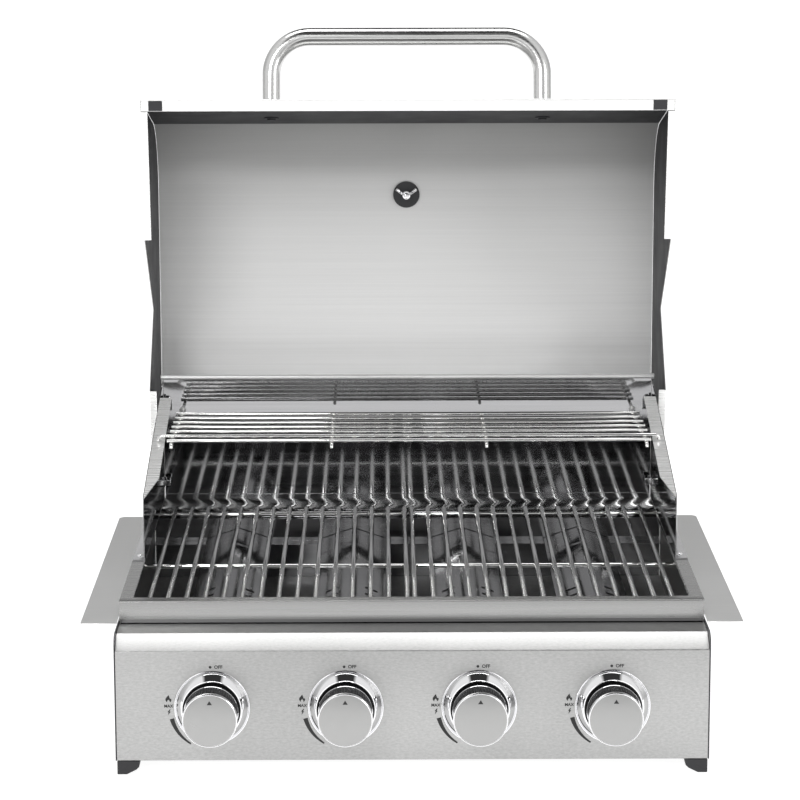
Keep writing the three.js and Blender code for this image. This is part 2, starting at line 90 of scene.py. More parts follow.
# The closed lid's side outline, in millimetres: lip, sloping face, brow, roof, rear round and hem.
LIP_Y, LIP_Z = 60, 174.4
BROW_Y, BROW_Z = 139, 348
BROW_RADIUS = 90
ROOF_SLOPE = radians(10.7)
REAR_CORNER_Y = 560
REAR_RADIUS = 32
REAR_LEAN = radians(87)
LID_HEM_Z = 275.2

HANDLE_UP_FACE = 145
HANDLE_REACH = 97.5
HANDLE_BEND = 46.0
HANDLE_RADIUS = 10.9

GRATE_BARS = 16
GRATE_PITCH = 19.9
FIRST_GRATE_BAR = 4.2
GRATE_BAR = 5.5
CROSS_BAR_Y = (71, 285, 543)

RACK_BARS = 7
RACK_FRONT = 354
RACK_PITCH = 26
RACK_WIRE = 4.4
RACK_CROSS_X = (-273, -89, 89, 273)


def lid_at(x, y, z):
    """A point of the closed lid, in millimetres, carried to where the open lid holds it."""
    dy, dz = y - PIVOT_Y, z - PIVOT_Z
    c, s = cos(OPEN_ANGLE), sin(OPEN_ANGLE)
    return at(x, PIVOT_Y + dy * c + dz * s, PIVOT_Z - dy * s + dz * c)


# ------------------------------------------------------------------ settings
class GrillMetalSettings(bpy.types.PropertyGroup):
    """Colours of the grill's metals and plastics."""

    steel: bpy.props.FloatVectorProperty(
        name="Brushed steel",
        description="Colour of the brushed stainless sheet",
        default=(0.60, 0.60, 0.595),
        subtype="COLOR",
        min=0.0,
        max=1.0,
    )
    bright: bpy.props.FloatVectorProperty(
        name="Bright steel",
        description="Colour of the bright annealed sheet inside the grill",
        default=(0.62, 0.62, 0.63),
        subtype="COLOR",
        min=0.0,
        max=1.0,
    )
    rod: bpy.props.FloatVectorProperty(
        name="Bar steel",
        description="Colour of the grate and rack bars",
        default=(0.66, 0.66, 0.65),
        subtype="COLOR",
        min=0.0,
        max=1.0,
    )
    dark: bpy.props.FloatVectorProperty(
        name="Dark coating",
        description="Colour of the end plates, feet and knob grips",
        default=(0.016, 0.016, 0.018),
        subtype="COLOR",
        min=0.0,
        max=1.0,
    )


class GrillShapeSettings(bpy.types.PropertyGroup):
    """Sizes of the parts that this script models."""

    sheet: bpy.props.FloatProperty(
        name="Sheet", description="Thickness of the steel sheet", default=1.2, min=0.5, max=3.0
    )
    edge: bpy.props.FloatProperty(
        name="Edge", description="Rounding of a cut sheet edge", default=0.25, min=0.0, max=0.5
    )
    bar_sides: bpy.props.IntProperty(
        name="Bar sides", description="Facets round a grate bar", default=14, min=6, max=32
    )
    knob_ribs: bpy.props.IntProperty(
        name="Knob ribs", description="Grip ribs round a knob", default=60, min=12, max=120
    )


class GrillStageSettings(bpy.types.PropertyGroup):
    """Camera and light of the studio."""

    lens: bpy.props.FloatProperty(
        name="Lens", description="Focal length in millimetres", default=135.04, min=20.0, max=300.0
    )
    tilt: bpy.props.FloatProperty(
        name="Tilt",
        description="How far the camera looks down",
        default=radians(11.018),
        subtype="ANGLE",
    )
    turn: bpy.props.FloatProperty(
        name="Turn",
        description="How far the camera looks to the right",
        default=radians(0.339),
        subtype="ANGLE",
    )
    roll: bpy.props.FloatProperty(
        name="Roll", description="Camera roll", default=radians(-0.112), subtype="ANGLE"
    )
    floor: bpy.props.FloatVectorProperty(
        name="Floor",
        description="Colour of the floor",
        default=(0.45, 0.45, 0.45),
        subtype="COLOR",
        min=0.0,
        max=1.0,
    )


def settings():
    """The three groups of settings, kept on the scene."""
    scene = bpy.context.scene
    return scene.grill_metals, scene.grill_shapes, scene.grill_stage


# ------------------------------------------------------------------ materials
def node_material(name, colour, rough, metallic):
    """A fresh material with one shader, its sockets set; returns the material, tree and shader."""
    material = bpy.data.materials.new(name)
    material.use_nodes = True
    tree = material.node_tree
    shader = tree.nodes["Principled BSDF"]
    shader.inputs["Base Color"].default_value = (*colour, 1.0)
    shader.inputs["Roughness"].default_value = rough
    shader.inputs["Metallic"].default_value = metallic
    return material, tree, shader


def noise(tree, stretch, detail=3.0, roughness=0.55, turn=(0.0, 0.0, 0.0)):
    """Noise on object coordinates; stretch is how many cells fit in a metre along X, Y and Z."""
    coordinates = tree.nodes.new("ShaderNodeTexCoord")
    mapping = tree.nodes.new("ShaderNodeMapping")
    mapping.inputs["Scale"].default_value = stretch
    mapping.inputs["Rotation"].default_value = turn
    texture = tree.nodes.new("ShaderNodeTexNoise")
    texture.inputs["Scale"].default_value = 1.0
    texture.inputs["Detail"].default_value = detail
    texture.inputs["Roughness"].default_value = roughness
    tree.links.new(coordinates.outputs["Object"], mapping.inputs["Vector"])
    tree.links.new(mapping.outputs["Vector"], texture.inputs["Vector"])
    return texture.outputs["Fac"]


def ramp(tree, value, low_value, high_value):
    """Maps a noise value to a range of numbers."""
    node = tree.nodes.new("ShaderNodeMapRange")
    node.inputs["From Min"].default_value = 0.3
    node.inputs["From Max"].default_value = 0.7
    node.inputs["To Min"].default_value = low_value
    node.inputs["To Max"].default_value = high_value
    tree.links.new(value, node.inputs["Value"])
    return node.outputs["Result"]


def shades(tree, value, dark, light):
    """Maps a noise value to a colour between two."""
    node = tree.nodes.new("ShaderNodeValToRGB")
    node.color_ramp.elements[0].position = 0.3
    node.color_ramp.elements[1].position = 0.7
    node.color_ramp.elements[0].color = (*dark, 1.0)
    node.color_ramp.elements[1].color = (*light, 1.0)
    tree.links.new(value, node.inputs["Fac"])
    return node.outputs["Color"]


def bump(tree, shader, value, depth_mm, strength=1.0):
    """Raises the surface by a noise value, by at most the given depth."""
    node = tree.nodes.new("ShaderNodeBump")
    node.inputs["Distance"].default_value = depth_mm * MM
    node.inputs["Strength"].default_value = strength
    tree.links.new(value, node.inputs["Height"])
    tree.links.new(node.outputs["Normal"], shader.inputs["Normal"])


def tinted(colour, factor):
    """The colour made lighter or darker."""
    return [min(1.0, c * factor) for c in colour]


def grained_steel(
    name, colour, rough, grain=(12.0, 900.0, 900.0), spread=0.10, depth=0.012, metallic=1.0
):
    """Brushed sheet: fine scratches along X, as colour, gloss and relief."""
    material, tree, shader = node_material(name, colour, rough, metallic)
    line = noise(tree, grain, 4.0, 0.7)
    cloud = noise(tree, (5.0, 5.0, 5.0), 2.0)
    mixed = tree.nodes.new("ShaderNodeMix")
    mixed.inputs["Factor"].default_value = 0.3
    tree.links.new(line, mixed.inputs["A"])
    tree.links.new(cloud, mixed.inputs["B"])
    value = mixed.outputs["Result"]
    shade = shades(tree, value, tinted(colour, 1 - spread), tinted(colour, 1 + spread))
    tree.links.new(shade, shader.inputs["Base Color"])
    tree.links.new(ramp(tree, line, rough - 0.07, rough + 0.09), shader.inputs["Roughness"])
    bump(tree, shader, line, depth)
    return material


def hood_lining_painted_shade(name, shaded_top, pale_foot):
    """The hood's inner finish: brushed along X, and paler from its front edge down to its foot, as painted
    shade that is darkest under the canopy.
    """
    material, tree, shader = node_material(name, pale_foot, 0.45, 0.4)
    line = noise(tree, (3.0, 420.0, 420.0), 4.0, 0.7)
    coordinates = tree.nodes.new("ShaderNodeTexCoord")
    split = tree.nodes.new("ShaderNodeSeparateXYZ")
    # Painted shade: the colour runs from dark at z 0.64, under the canopy, to pale at z 0.31.
    height = tree.nodes.new("ShaderNodeMapRange")
    height.inputs["From Min"].default_value = 0.64
    height.inputs["From Max"].default_value = 0.31
    tree.links.new(coordinates.outputs["Object"], split.inputs["Vector"])
    tree.links.new(split.outputs["Z"], height.inputs["Value"])
    blend = tree.nodes.new("ShaderNodeValToRGB")
    blend.color_ramp.elements[0].color = (*shaded_top, 1.0)
    blend.color_ramp.elements[1].color = (*[min(0.97, c) for c in pale_foot], 1.0)
    tree.links.new(height.outputs["Result"], blend.inputs["Fac"])
    grain = tree.nodes.new("ShaderNodeMix")
    grain.data_type = "RGBA"
    grain.blend_type = "MULTIPLY"
    grain.inputs["Factor"].default_value = 1.0
    tree.links.new(blend.outputs["Color"], grain.inputs["A"])
    tree.links.new(shades(tree, line, (0.93,) * 3, (1.0,) * 3), grain.inputs["B"])
    tree.links.new(grain.outputs["Result"], shader.inputs["Base Color"])
    tree.links.new(ramp(tree, line, 0.40, 0.52), shader.inputs["Roughness"])
    return material


def bright_steel(name, colour, rough, wave=0.05):
    """Bright annealed sheet: a mirror that is slightly uneven, with faint rolling lines."""
    material, tree, shader = node_material(name, colour, rough, 1.0)
    line = noise(tree, (4.0, 240.0, 240.0), 3.0, 0.6)
    swell = noise(tree, (7.0, 7.0, 9.0), 1.0, 0.4)
    shade = shades(tree, line, tinted(colour, 0.93), tinted(colour, 1.05))
    tree.links.new(shade, shader.inputs["Base Color"])
    tree.links.new(ramp(tree, line, rough * 0.8, rough * 1.4), shader.inputs["Roughness"])
    bump(tree, shader, swell, wave)
    return material


def plated(name, colour, rough):
    """Polished plating with the faintest haze."""
    material, tree, shader = node_material(name, colour, rough, 1.0)
    haze = noise(tree, (30.0, 30.0, 30.0), 2.0)
    tree.links.new(ramp(tree, haze, rough * 0.8, rough * 1.5), shader.inputs["Roughness"])
    return material


def moulded(name, colour, rough, depth=0.03, shine=0.5):
    """Moulded plastic or enamel with a fine orange-peel skin."""
    material, tree, shader = node_material(name, colour, rough, 0.0)
    shader.inputs["Specular IOR Level"].default_value = shine
    skin = noise(tree, (700.0, 700.0, 700.0), 2.0)
    patch = noise(tree, (20.0, 20.0, 20.0), 2.0)
    tree.links.new(ramp(tree, patch, rough - 0.05, rough + 0.08), shader.inputs["Roughness"])
    bump(tree, shader, skin, depth)
    return material


def coated_sheet(name, colour, rough):
    """Aluminised or cast metal: dull, mottled and a little rough."""
    material, tree, shader = node_material(name, colour, rough, 0.7)
    fleck = noise(tree, (160.0, 160.0, 160.0), 4.0, 0.7)
    shade = shades(tree, fleck, tinted(colour, 0.8), tinted(colour, 1.15))
    tree.links.new(shade, shader.inputs["Base Color"])
    tree.links.new(ramp(tree, fleck, rough - 0.08, rough + 0.1), shader.inputs["Roughness"])
    bump(tree, shader, fleck, 0.04)
    return material


def make_materials():
    """All the grill's materials by name."""
    metals = settings()[0]
    steel, bright, rod, dark = map(tuple, (metals.steel, metals.bright, metals.rod, metals.dark))
    return {
        "panel": grained_steel("panel_brushed", tinted(steel, 0.72), 0.36, (220.0, 600.0, 600.0), 0.22),
        "hood": grained_steel("hood_brushed", tinted(steel, 0.9), 0.30, (6.0, 1400.0, 1400.0), 0.03, 0.0008),
        # The hood lining carries painted shade: darker at its top, paler at its foot.
        "hood_inside": hood_lining_painted_shade("hood_inside_brushed_painted_shade", tinted(steel, 0.72), tinted(steel, 1.62)),
        "mill": grained_steel("mill_finish", (0.72, 0.72, 0.72), 0.5, (6.0, 300.0, 300.0), 0.04, 0.004, 0.7),
        # A darker copy of the wings' brushed steel: painted shade inside the firebox and on the fixed panels'
        # outer faces.
        "side": grained_steel("side_brushed_painted_shade", tinted(steel, 0.72), 0.40, (10.0, 600.0, 600.0), 0.05),
        # A lighter copy of the same brushed steel: painted light on the upward-facing mounting wings.
        "wing": grained_steel("wing_brushed_painted_light", tinted(steel, 1.35), 0.38, (10.0, 600.0, 600.0), 0.05),
        "rail": grained_steel("rail_polished", tinted(steel, 0.62), 0.25, (4.0, 400.0, 400.0), 0.05),
        # A lighter, half-diffuse copy of the brushed steel: painted highlight for flanges, hems and the lid's
        # lip.
        "lip": grained_steel("lip_painted_highlight", tinted(steel, 1.5), 0.28, (4.0, 400.0, 400.0), 0.03, 0.012, 0.5),
        "bright": bright_steel("bright_sheet", tinted(bright, 0.9), 0.05, 0.004),
        # A darker copy of the bright sheet: painted shade for the firebox walls and the flame tamers.
        "deep_painted_shade": bright_steel("bright_sheet_painted_shade", tinted(bright, 0.5), 0.09, 0.006),
        "back": bright_steel("bright_sheet_back", tinted(bright, 0.58), 0.05, 0.004),
        # A dark sheet of painted shade for the face's inner band and the lid ends' inner faces.
        "shade": moulded("inner_face_painted_shade", (0.030, 0.030, 0.033), 0.55, 0.01),
        "rod": plated("bar_polished", tinted(rod, 1.2), 0.07),
        "tube": grained_steel("handle_tube", tinted(steel, 1.1), 0.2, (10.0, 500.0, 500.0), 0.04, 0.006),
        "chrome": plated("chrome", (0.86, 0.86, 0.87), 0.04),
        "knob": grained_steel("knob_satin", tinted(steel, 0.66), 0.34, (90.0, 90.0, 90.0), 0.01, 0.0),
        "grip": moulded("knob_grip", tinted(dark, 0.6), 0.5, 0.01, 0.12),
        "black": moulded("black_plastic", dark, 0.45),
        "enamel": moulded("end_plate_coating", tinted(dark, 2.4), 0.35),
        "rubber": moulded("rubber_pad", tinted(dark, 1.5), 0.6),
        "print": moulded("printed_marks", (0.012, 0.012, 0.012), 0.5, 0.002),
        "dial": moulded("dial_card", (0.82, 0.82, 0.80), 0.45, 0.002),
        "coated": coated_sheet("aluminised_sheet", (0.42, 0.42, 0.42), 0.45),
        "brass": coated_sheet("cast_brass", (0.55, 0.42, 0.20), 0.38),
        "ceramic": moulded("white_ceramic", (0.75, 0.74, 0.70), 0.35),
    }


MATERIALS = {}


# ------------------------------------------------------------------ shape tools
def finished(bm, name, body, material, replaces=(), smooth=35.0):
    """Turns a bmesh into a piece that rides on a body, with its faces smoothed up to an angle."""
    bmesh.ops.remove_doubles(bm, verts=bm.verts[:], dist=1e-6)
    bmesh.ops.recalc_face_normals(bm, faces=bm.faces[:])
    mesh = bpy.data.meshes.new(name)
    bm.to_mesh(mesh)
    bm.free()
    return placed(mesh, name, body, material, replaces, smooth)


def placed(mesh, name, body, material, replaces=(), smooth=35.0):
    """Links a finished mesh as a piece."""
    mesh.polygons.foreach_set("use_smooth", [True] * len(mesh.polygons))
    mesh.set_sharp_from_angle(angle=radians(smooth))
    piece = bpy.data.objects.new(name, mesh)
    bpy.context.scene.collection.objects.link(piece)
    piece.data.materials.append(MATERIALS[material])
    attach(piece, body)
    if replaces:
        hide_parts(*replaces)
    return piece


def rounded(piece, width_mm, segments=2, angle=40.0):
    """Rounds a piece's sharp edges with a modifier."""
    edge = piece.modifiers.new("edge", "BEVEL")
    edge.width = width_mm * MM
    edge.segments = segments
    edge.limit_method = "ANGLE"
    edge.angle_limit = radians(angle)
    edge.harden_normals = False
    return piece


def refined(node, body, material, width_mm=0.25, segments=2):
    """A copy of a CAD node with its flat faces whole and its edges rounded, in its place."""
    bm = bmesh.new()
    bm.from_mesh(NODES[node].data)
    bmesh.ops.remove_doubles(bm, verts=bm.verts[:], dist=1e-6)
    bmesh.ops.dissolve_limit(bm, angle_limit=radians(1.0), verts=bm.verts[:], edges=bm.edges[:])
    mesh = bpy.data.meshes.new(node + "_finished")
    bm.to_mesh(mesh)
    bm.free()
    piece = placed(mesh, node + "_finished", body, material, (node,))
    return rounded(piece, width_mm, segments) if width_mm else piece


def paint(piece, material, chosen):
    """Gives another material to the faces for which chosen(centre, normal) is true."""
    mesh = piece.data
    mesh.materials.append(MATERIALS[material])
    index = len(mesh.materials) - 1
    for face in mesh.polygons:
        if chosen(face.center, face.normal):
            face.material_index = index
    return piece


def turn_to(direction):
    """The turn that carries +Z to a direction."""
    return Vector(direction).normalized().to_track_quat("Z", "Y").to_matrix().to_4x4()


def add_bar(bm, start, end, diameter, sides=None, end_radius=0.6):
    """Adds a round bar between two points in metres, its end edges rounded."""
    sides = sides or settings()[1].bar_sides
    axis = end - start
    place = Matrix.Translation((start + end) / 2) @ turn_to(axis)
    made = bmesh.ops.create_cone(
        bm,
        cap_ends=True,
        segments=sides,
        radius1=diameter * MM / 2,
        radius2=diameter * MM / 2,
        depth=axis.length,
        matrix=place,
    )
    if end_radius:
        caps = [f for f in {f for v in made["verts"] for f in v.link_faces} if len(f.verts) > 4]
        rims = list({e for f in caps for e in f.edges})
        bmesh.ops.bevel(
            bm,
            geom=rims,
            offset=end_radius * MM,
            segments=2,
            profile=0.5,
            affect="EDGES",
            material=-1,
        )


def add_ring_profile(bm, points, centre, axis, start, steps):
    """Spins a line of (radius, distance along the axis) points in millimetres into a full turn."""
    axis = Vector(axis).normalized()
    start = Vector(start)
    line = [bm.verts.new(centre + start * r * MM + axis * d * MM) for r, d in points]
    edges = [bm.edges.new(pair) for pair in zip(line, line[1:])]
    bmesh.ops.spin(
        bm,
        geom=line + edges,
        cent=centre,
        axis=axis,
        angle=2 * pi,
        steps=steps,
        use_merge=True,
    )


def add_pipe(bm, start, direction, diameter, moves, sides=20):
    """Adds a bent round tube: moves are ("go", metres) or ("turn", centre, axis, angle, steps)."""
    ring = bmesh.ops.create_circle(
        bm,
        cap_ends=False,
        segments=sides,
        radius=diameter * MM / 2,
        matrix=Matrix.Translation(start) @ turn_to(direction),
    )["verts"]
    heading = Vector(direction).normalized()
    first = list({e for v in ring for e in v.link_edges})
    edges = first
    for move in moves:
        if move[0] == "go":
            grown = bmesh.ops.extrude_edge_only(bm, edges=edges)["geom"]
            moved = [g for g in grown if isinstance(g, bmesh.types.BMVert)]
            edges = [g for g in grown if isinstance(g, bmesh.types.BMEdge)]
            edges = [e for e in edges if all(v in moved for v in e.verts)]
            bmesh.ops.translate(bm, verts=moved, vec=heading * move[1])
        else:
            _, centre, axis, angle, steps = move
            ends = {v for e in edges for v in e.verts}
            spun = bmesh.ops.spin(
                bm, geom=list(ends) + edges, cent=centre, axis=axis, angle=angle, steps=steps
            )
            edges = [g for g in spun["geom_last"] if isinstance(g, bmesh.types.BMEdge)]
            heading.rotate(Matrix.Rotation(angle, 3, axis))
    bmesh.ops.holes_fill(bm, edges=first, sides=sides)
    bmesh.ops.holes_fill(bm, edges=edges, sides=sides)


def bent_sheet(name, line, width, bends, body, material, replaces, thickness=None):
    """A sheet bent along a line of points and drawn out along X.

    line holds points in metres at x = 0, width is the two x values, bends gives a radius in
    millimetres for a point's number, and the thickness grows to the line's left.
    """
    thickness = settings()[1].sheet if thickness is None else thickness
    bm = bmesh.new()
    row = [bm.verts.new((width[0], p.y, p.z)) for p in line]
    edges = [bm.edges.new(pair) for pair in zip(row, row[1:])]
    grown = bmesh.ops.extrude_edge_only(bm, edges=edges)["geom"]
    moved = [g for g in grown if isinstance(g, bmesh.types.BMVert)]
    bmesh.ops.translate(bm, verts=moved, vec=(width[1] - width[0], 0, 0))
    creases = {}
    for number in bends:
        place = line[number]
        creases[number] = next(
            e
            for e in bm.edges
            if all(abs(v.co.y - place.y) + abs(v.co.z - place.z) < 1e-7 for v in e.verts)
        )
    for number, radius in bends.items():
        before = (line[number] - line[number - 1]).normalized()
        after = (line[number + 1] - line[number]).normalized()
        half = before.angle(after) / 2
        bmesh.ops.bevel(
            bm,
            geom=[creases[number]],
            offset=radius * MM * tan(half),
            offset_type="OFFSET",
            segments=max(4, int(radius / 3)),
            profile=0.5,
            affect="EDGES",
            material=-1,
        )
    bmesh.ops.recalc_face_normals(bm, faces=bm.faces[:])
    along = (line[1] - line[0]).normalized()
    left = Vector((0, -along.z, along.y))
    nearest = min(bm.faces, key=lambda f: (f.calc_center_median() - (line[0] + line[1]) / 2).length)
    if nearest.normal.dot(left) > 0:
        bmesh.ops.reverse_faces(bm, faces=bm.faces[:])
    bmesh.ops.solidify(bm, geom=bm.faces[:], thickness=thickness * MM)
    return finished(bm, name, body, material, replaces)


def arc_marks(centre, start, end, radius, count):
    """Points on an arc in the panel's plane, from one clock angle to another, in millimetres."""
    x, z = centre
    turns = [start + (end - start) * i / (count - 1) for i in range(count)]
    return [(x + radius * sin(t), z + radius * cos(t)) for t in turns]


def lettering(bm, text, size, place):
    """Adds flat letters of a height in millimetres to a mesh, centred at a place."""
    curve = bpy.data.curves.new("word", "FONT")
    curve.body = text
    curve.size = size * MM
    curve.align_x = "CENTER"
    curve.align_y = "CENTER"
    curve.resolution_u = 3
    curve.offset = size * 0.03 * MM
    holder = bpy.data.objects.new("word", curve)
    bpy.context.scene.collection.objects.link(holder)
    bpy.context.view_layer.update()
    letters = bpy.data.meshes.new_from_object(holder)
    letters.transform(place)
    bm.from_mesh(letters)
    bpy.data.objects.remove(holder)
    bpy.data.curves.remove(curve)
    bpy.data.meshes.remove(letters)


# ------------------------------------------------------------------ operators
class GRILL_OT_panel(bpy.types.Operator):
    """Control panel, its end plates, screws and feet"""

    bl_idname = "grill.panel"
    bl_label = "Control panel"

    def execute(self, context):
        half = high("control_panel").x
        line = [at(0, 56, 148.1), at(0, 22.7, 147.3), at(0, 0, 133.7), at(0, 0, 15), at(0, 30, 15)]
        panel = bent_sheet(
            "control_panel_sheet",
            line,
            (-half * MM, half * MM),
            {1: 1.5, 2: 1.5, 3: 1.5},
            "base",
            "panel",
            ("control_panel",),
        )
        rounded(panel, 0.2)
        for side in ("left", "right"):
            refined(f"end_plate_{side}", "base", "enamel", 0.3)
            refined(f"foot_front_{side}", "base", "black", 0.8)
            refined(f"foot_rear_{side}", "base", "black", 0.8)
            self.side_screws(side)
        return {"FINISHED"}

    def side_screws(self, side):
        """Two pan-head screws through each end plate."""
        sign = -1 if side == "left" else 1
        outer = abs((low if side == "left" else high)(f"end_plate_{side}").x)
        bm = bmesh.new()
        for z in (124, 43):
            centre = at(sign * outer, 14, z)
            add_ring_profile(
                bm,
                [(0, 2.2), (2.0, 2.0), (3.6, 1.0), (4.0, -0.2), (0, -0.2)],
                centre,
                (sign, 0, 0),
                (0, 0, 1),
                16,
            )
        finished(bm, f"end_plate_screws_{side}", "base", "chrome")


class GRILL_OT_marks(bpy.types.Operator):
    """Printed marks round each knob"""

    bl_idname = "grill.marks"
    bl_label = "Panel marks"

    depth = 0.12

    def execute(self, context):
        for number in range(1, 5):
            centre = (low(f"bezel_{number}") + high(f"bezel_{number}")) / 2
            self.marks(number, centre.x, centre.z)
        return {"FINISHED"}

    def plate(self, bm, points):
        """A thin flat mark on the panel from its (x, z) outline."""
        verts = [bm.verts.new(at(x, -self.depth, z)) for x, z in points]
        bm.faces.new(verts)

    def word(self, bm, text, x, z, size):
        """Adds a word's flat letters to the mesh, centred at (x, z)."""
        place = Matrix.Translation(at(x, -self.depth, z)) @ Matrix.Rotation(pi / 2, 4, "X")
        lettering(bm, text, size, place)

    def marks(self, number, x, z):
        """A dot, two words, a flame, a spark and a tapered arc round one knob."""
        bm = bmesh.new()
        top = z + 43.6
        self.plate(bm, arc_marks((x - 1.5, top), 0, 2 * pi, 1.5, 17)[:-1])
        self.word(bm, "OFF", x + 7.0, top, 5.0)
        left = x - 45.5
        self.word(bm, "MAX", left, z + 1.6, 4.4)
        flame = [(0, 4.6), (-1.2, 3.0), (-3.0, 0.8), (-3.2, -1.2), (-2.2, -2.9), (-1.2, -3.3), (-1.5, -2.0)]
        flame += [(0.0, -0.4), (1.3, -2.2), (1.1, -3.3), (2.4, -2.8), (3.2, -1.0), (2.6, 0.6), (1.5, 0.2)]
        flame += [(1.2, 1.8), (0.6, 3.2)]
        self.plate(bm, [(left + a, z + 9.2 + b) for a, b in flame])
        bolt = [(0.8, 3.2), (-1.6, 0.2), (-0.5, 0.2), (-1.2, -3.2), (1.7, 0.6), (0.5, 0.6), (1.6, 3.2)]
        self.plate(bm, [(left + 0.4 + a, z - 5.0 + b) for a, b in bolt])
        outer = arc_marks((x, z), radians(-106), radians(-150), 46.3, 14)
        inner = arc_marks((x, z), radians(-150), radians(-106), 44.6, 14)
        inner = [
            (px + (x - px) * 0.07 * i / 13, pz + (z - pz) * 0.07 * i / 13)
            for i, (px, pz) in enumerate(inner)
        ]
        self.plate(bm, outer + inner)
        bmesh.ops.solidify(bm, geom=bm.faces[:], thickness=-0.1 * MM)
        finished(bm, f"panel_marks_{number}", "base", "print")


class GRILL_OT_knobs(bpy.types.Operator):
    """Knobs with ribbed grips and satin caps, and the chrome bezels round them"""

    bl_idname = "grill.knobs"
    bl_label = "Knobs and bezels"

    def execute(self, context):
        for number in range(1, 5):
            box_low, box_high = low(f"knob_{number}"), high(f"knob_{number}")
            centre = at((box_low.x + box_high.x) / 2, 0, (box_low.z + box_high.z) / 2)
            self.knob(number, centre, -box_low.y, (box_high.x - box_low.x) / 2)
            self.bezel(number, centre)
        return {"FINISHED"}

    def knob(self, number, centre, reach, radius):
        """A ribbed grip with two chromed bands, a satin face and a pointer."""
        body = f"knob_{number}"
        out, up = (0, -1, 0), (0, 0, 1)
        cap_back = reach - 5.6
        bm = bmesh.new()
        grip = radius - 1.2
        ribs = settings()[1].knob_ribs
        for first, last in ((8.2, 17.6), (20.4, cap_back + 0.2)):
            made = bmesh.ops.create_cone(
                bm,
                cap_ends=True,
                segments=ribs * 2,
                radius1=grip * MM,
                radius2=grip * MM,
                depth=(last - first) * MM,
                matrix=Matrix.Translation(centre + Vector(out) * (first + last) / 2 * MM)
                @ turn_to(out),
            )
            for vert in made["verts"]:
                spoke = vert.co - centre
                angle = atan2(spoke.x, spoke.z)
                if int(round(angle / (pi / ribs))) % 2:
                    vert.co -= Vector((spoke.x, 0, spoke.z)).normalized() * 0.7 * MM
        finished(bm, f"knob_grip_{number}", body, "grip", (), 25)
        bm = bmesh.new()
        ring = [
            (grip - 1.0, 17.4),
            (radius - 0.2, 17.4),
            (radius - 0.05, 17.8),
            (radius - 0.05, 20.2),
            (radius - 0.3, 20.6),
            (grip - 1.0, 20.6),
            (grip - 1.0, 17.4),
        ]
        add_ring_profile(bm, ring, centre, out, up, 64)
        rim = [
            (0, cap_back),
            (radius - 0.6, cap_back),
            (radius - 0.05, cap_back + 0.5),
            (radius - 0.05, reach - 1.0),
            (radius - 0.3, reach - 0.4),
            (radius - 0.7, reach - 0.1),
            (radius - 1.1, reach - 0.1),
            (radius - 1.3, reach - 0.9),
            (0, reach - 0.9),
        ]
        add_ring_profile(bm, rim, centre, out, up, 64)
        finished(bm, f"knob_rim_{number}", body, "chrome", (f"knob_{number}",), 30)
        bm = bmesh.new()
        edge = radius - 1.6
        face = [
            (0, reach - 0.85),
            (edge, reach - 0.85),
            (edge, reach - 0.45),
            (edge - 0.4, reach - 0.3),
            (0, reach - 0.3),
        ]
        add_ring_profile(bm, face, centre, out, up, 64)
        finished(bm, f"knob_face_{number}", body, "knob", (), 60)
        bm = bmesh.new()
        tip = centre + Vector((0, -(reach - 0.2) * MM, 0))
        corners = [(0, 21.6), (-2.7, 17.2), (2.7, 17.2)]
        bm.faces.new([bm.verts.new(tip + Vector((x * MM, 0, z * MM))) for x, z in corners])
        bmesh.ops.solidify(bm, geom=bm.faces[:], thickness=0.12 * MM)
        finished(bm, f"knob_pointer_{number}", body, "print")

    def bezel(self, number, centre):
        """A chromed ring with a beaded edge, and the dark well inside it."""
        node = f"bezel_{number}"
        radius = (high(node).x - low(node).x) / 2
        front = -low(node).y
        out, up = (0, -1, 0), (0, 0, 1)
        cone = [
            (radius - 1.0, 0.35),
            (radius - 0.1, 0.5),
            (radius - 0.1, 1.3),
            (radius - 0.5, 1.8),
            (radius - 1.1, 1.8),
            (radius - 1.5, 1.0),
            (radius - 1.9, 1.8),
            (32.2, front - 0.9),
            (31.4, front - 0.2),
            (30.4, front - 0.1),
            (29.9, front - 0.6),
            (29.9, front - 2.4),
            (radius - 1.0, 0.35),
        ]
        bm = bmesh.new()
        add_ring_profile(bm, cone, centre, out, up, 96)
        finished(bm, f"bezel_ring_{number}", "base", "chrome", (node,), 30)
        bm = bmesh.new()
        well = [
            (29.8, 0.4),
            (29.8, front - 2.5),
            (28.9, front - 2.5),
            (28.9, 1.4),
            (8.0, 1.4),
            (8.0, 0.4),
            (29.8, 0.4),
        ]
        add_ring_profile(bm, well, centre, out, up, 64)
        finished(bm, f"bezel_well_{number}", "base", "black", (), 30)


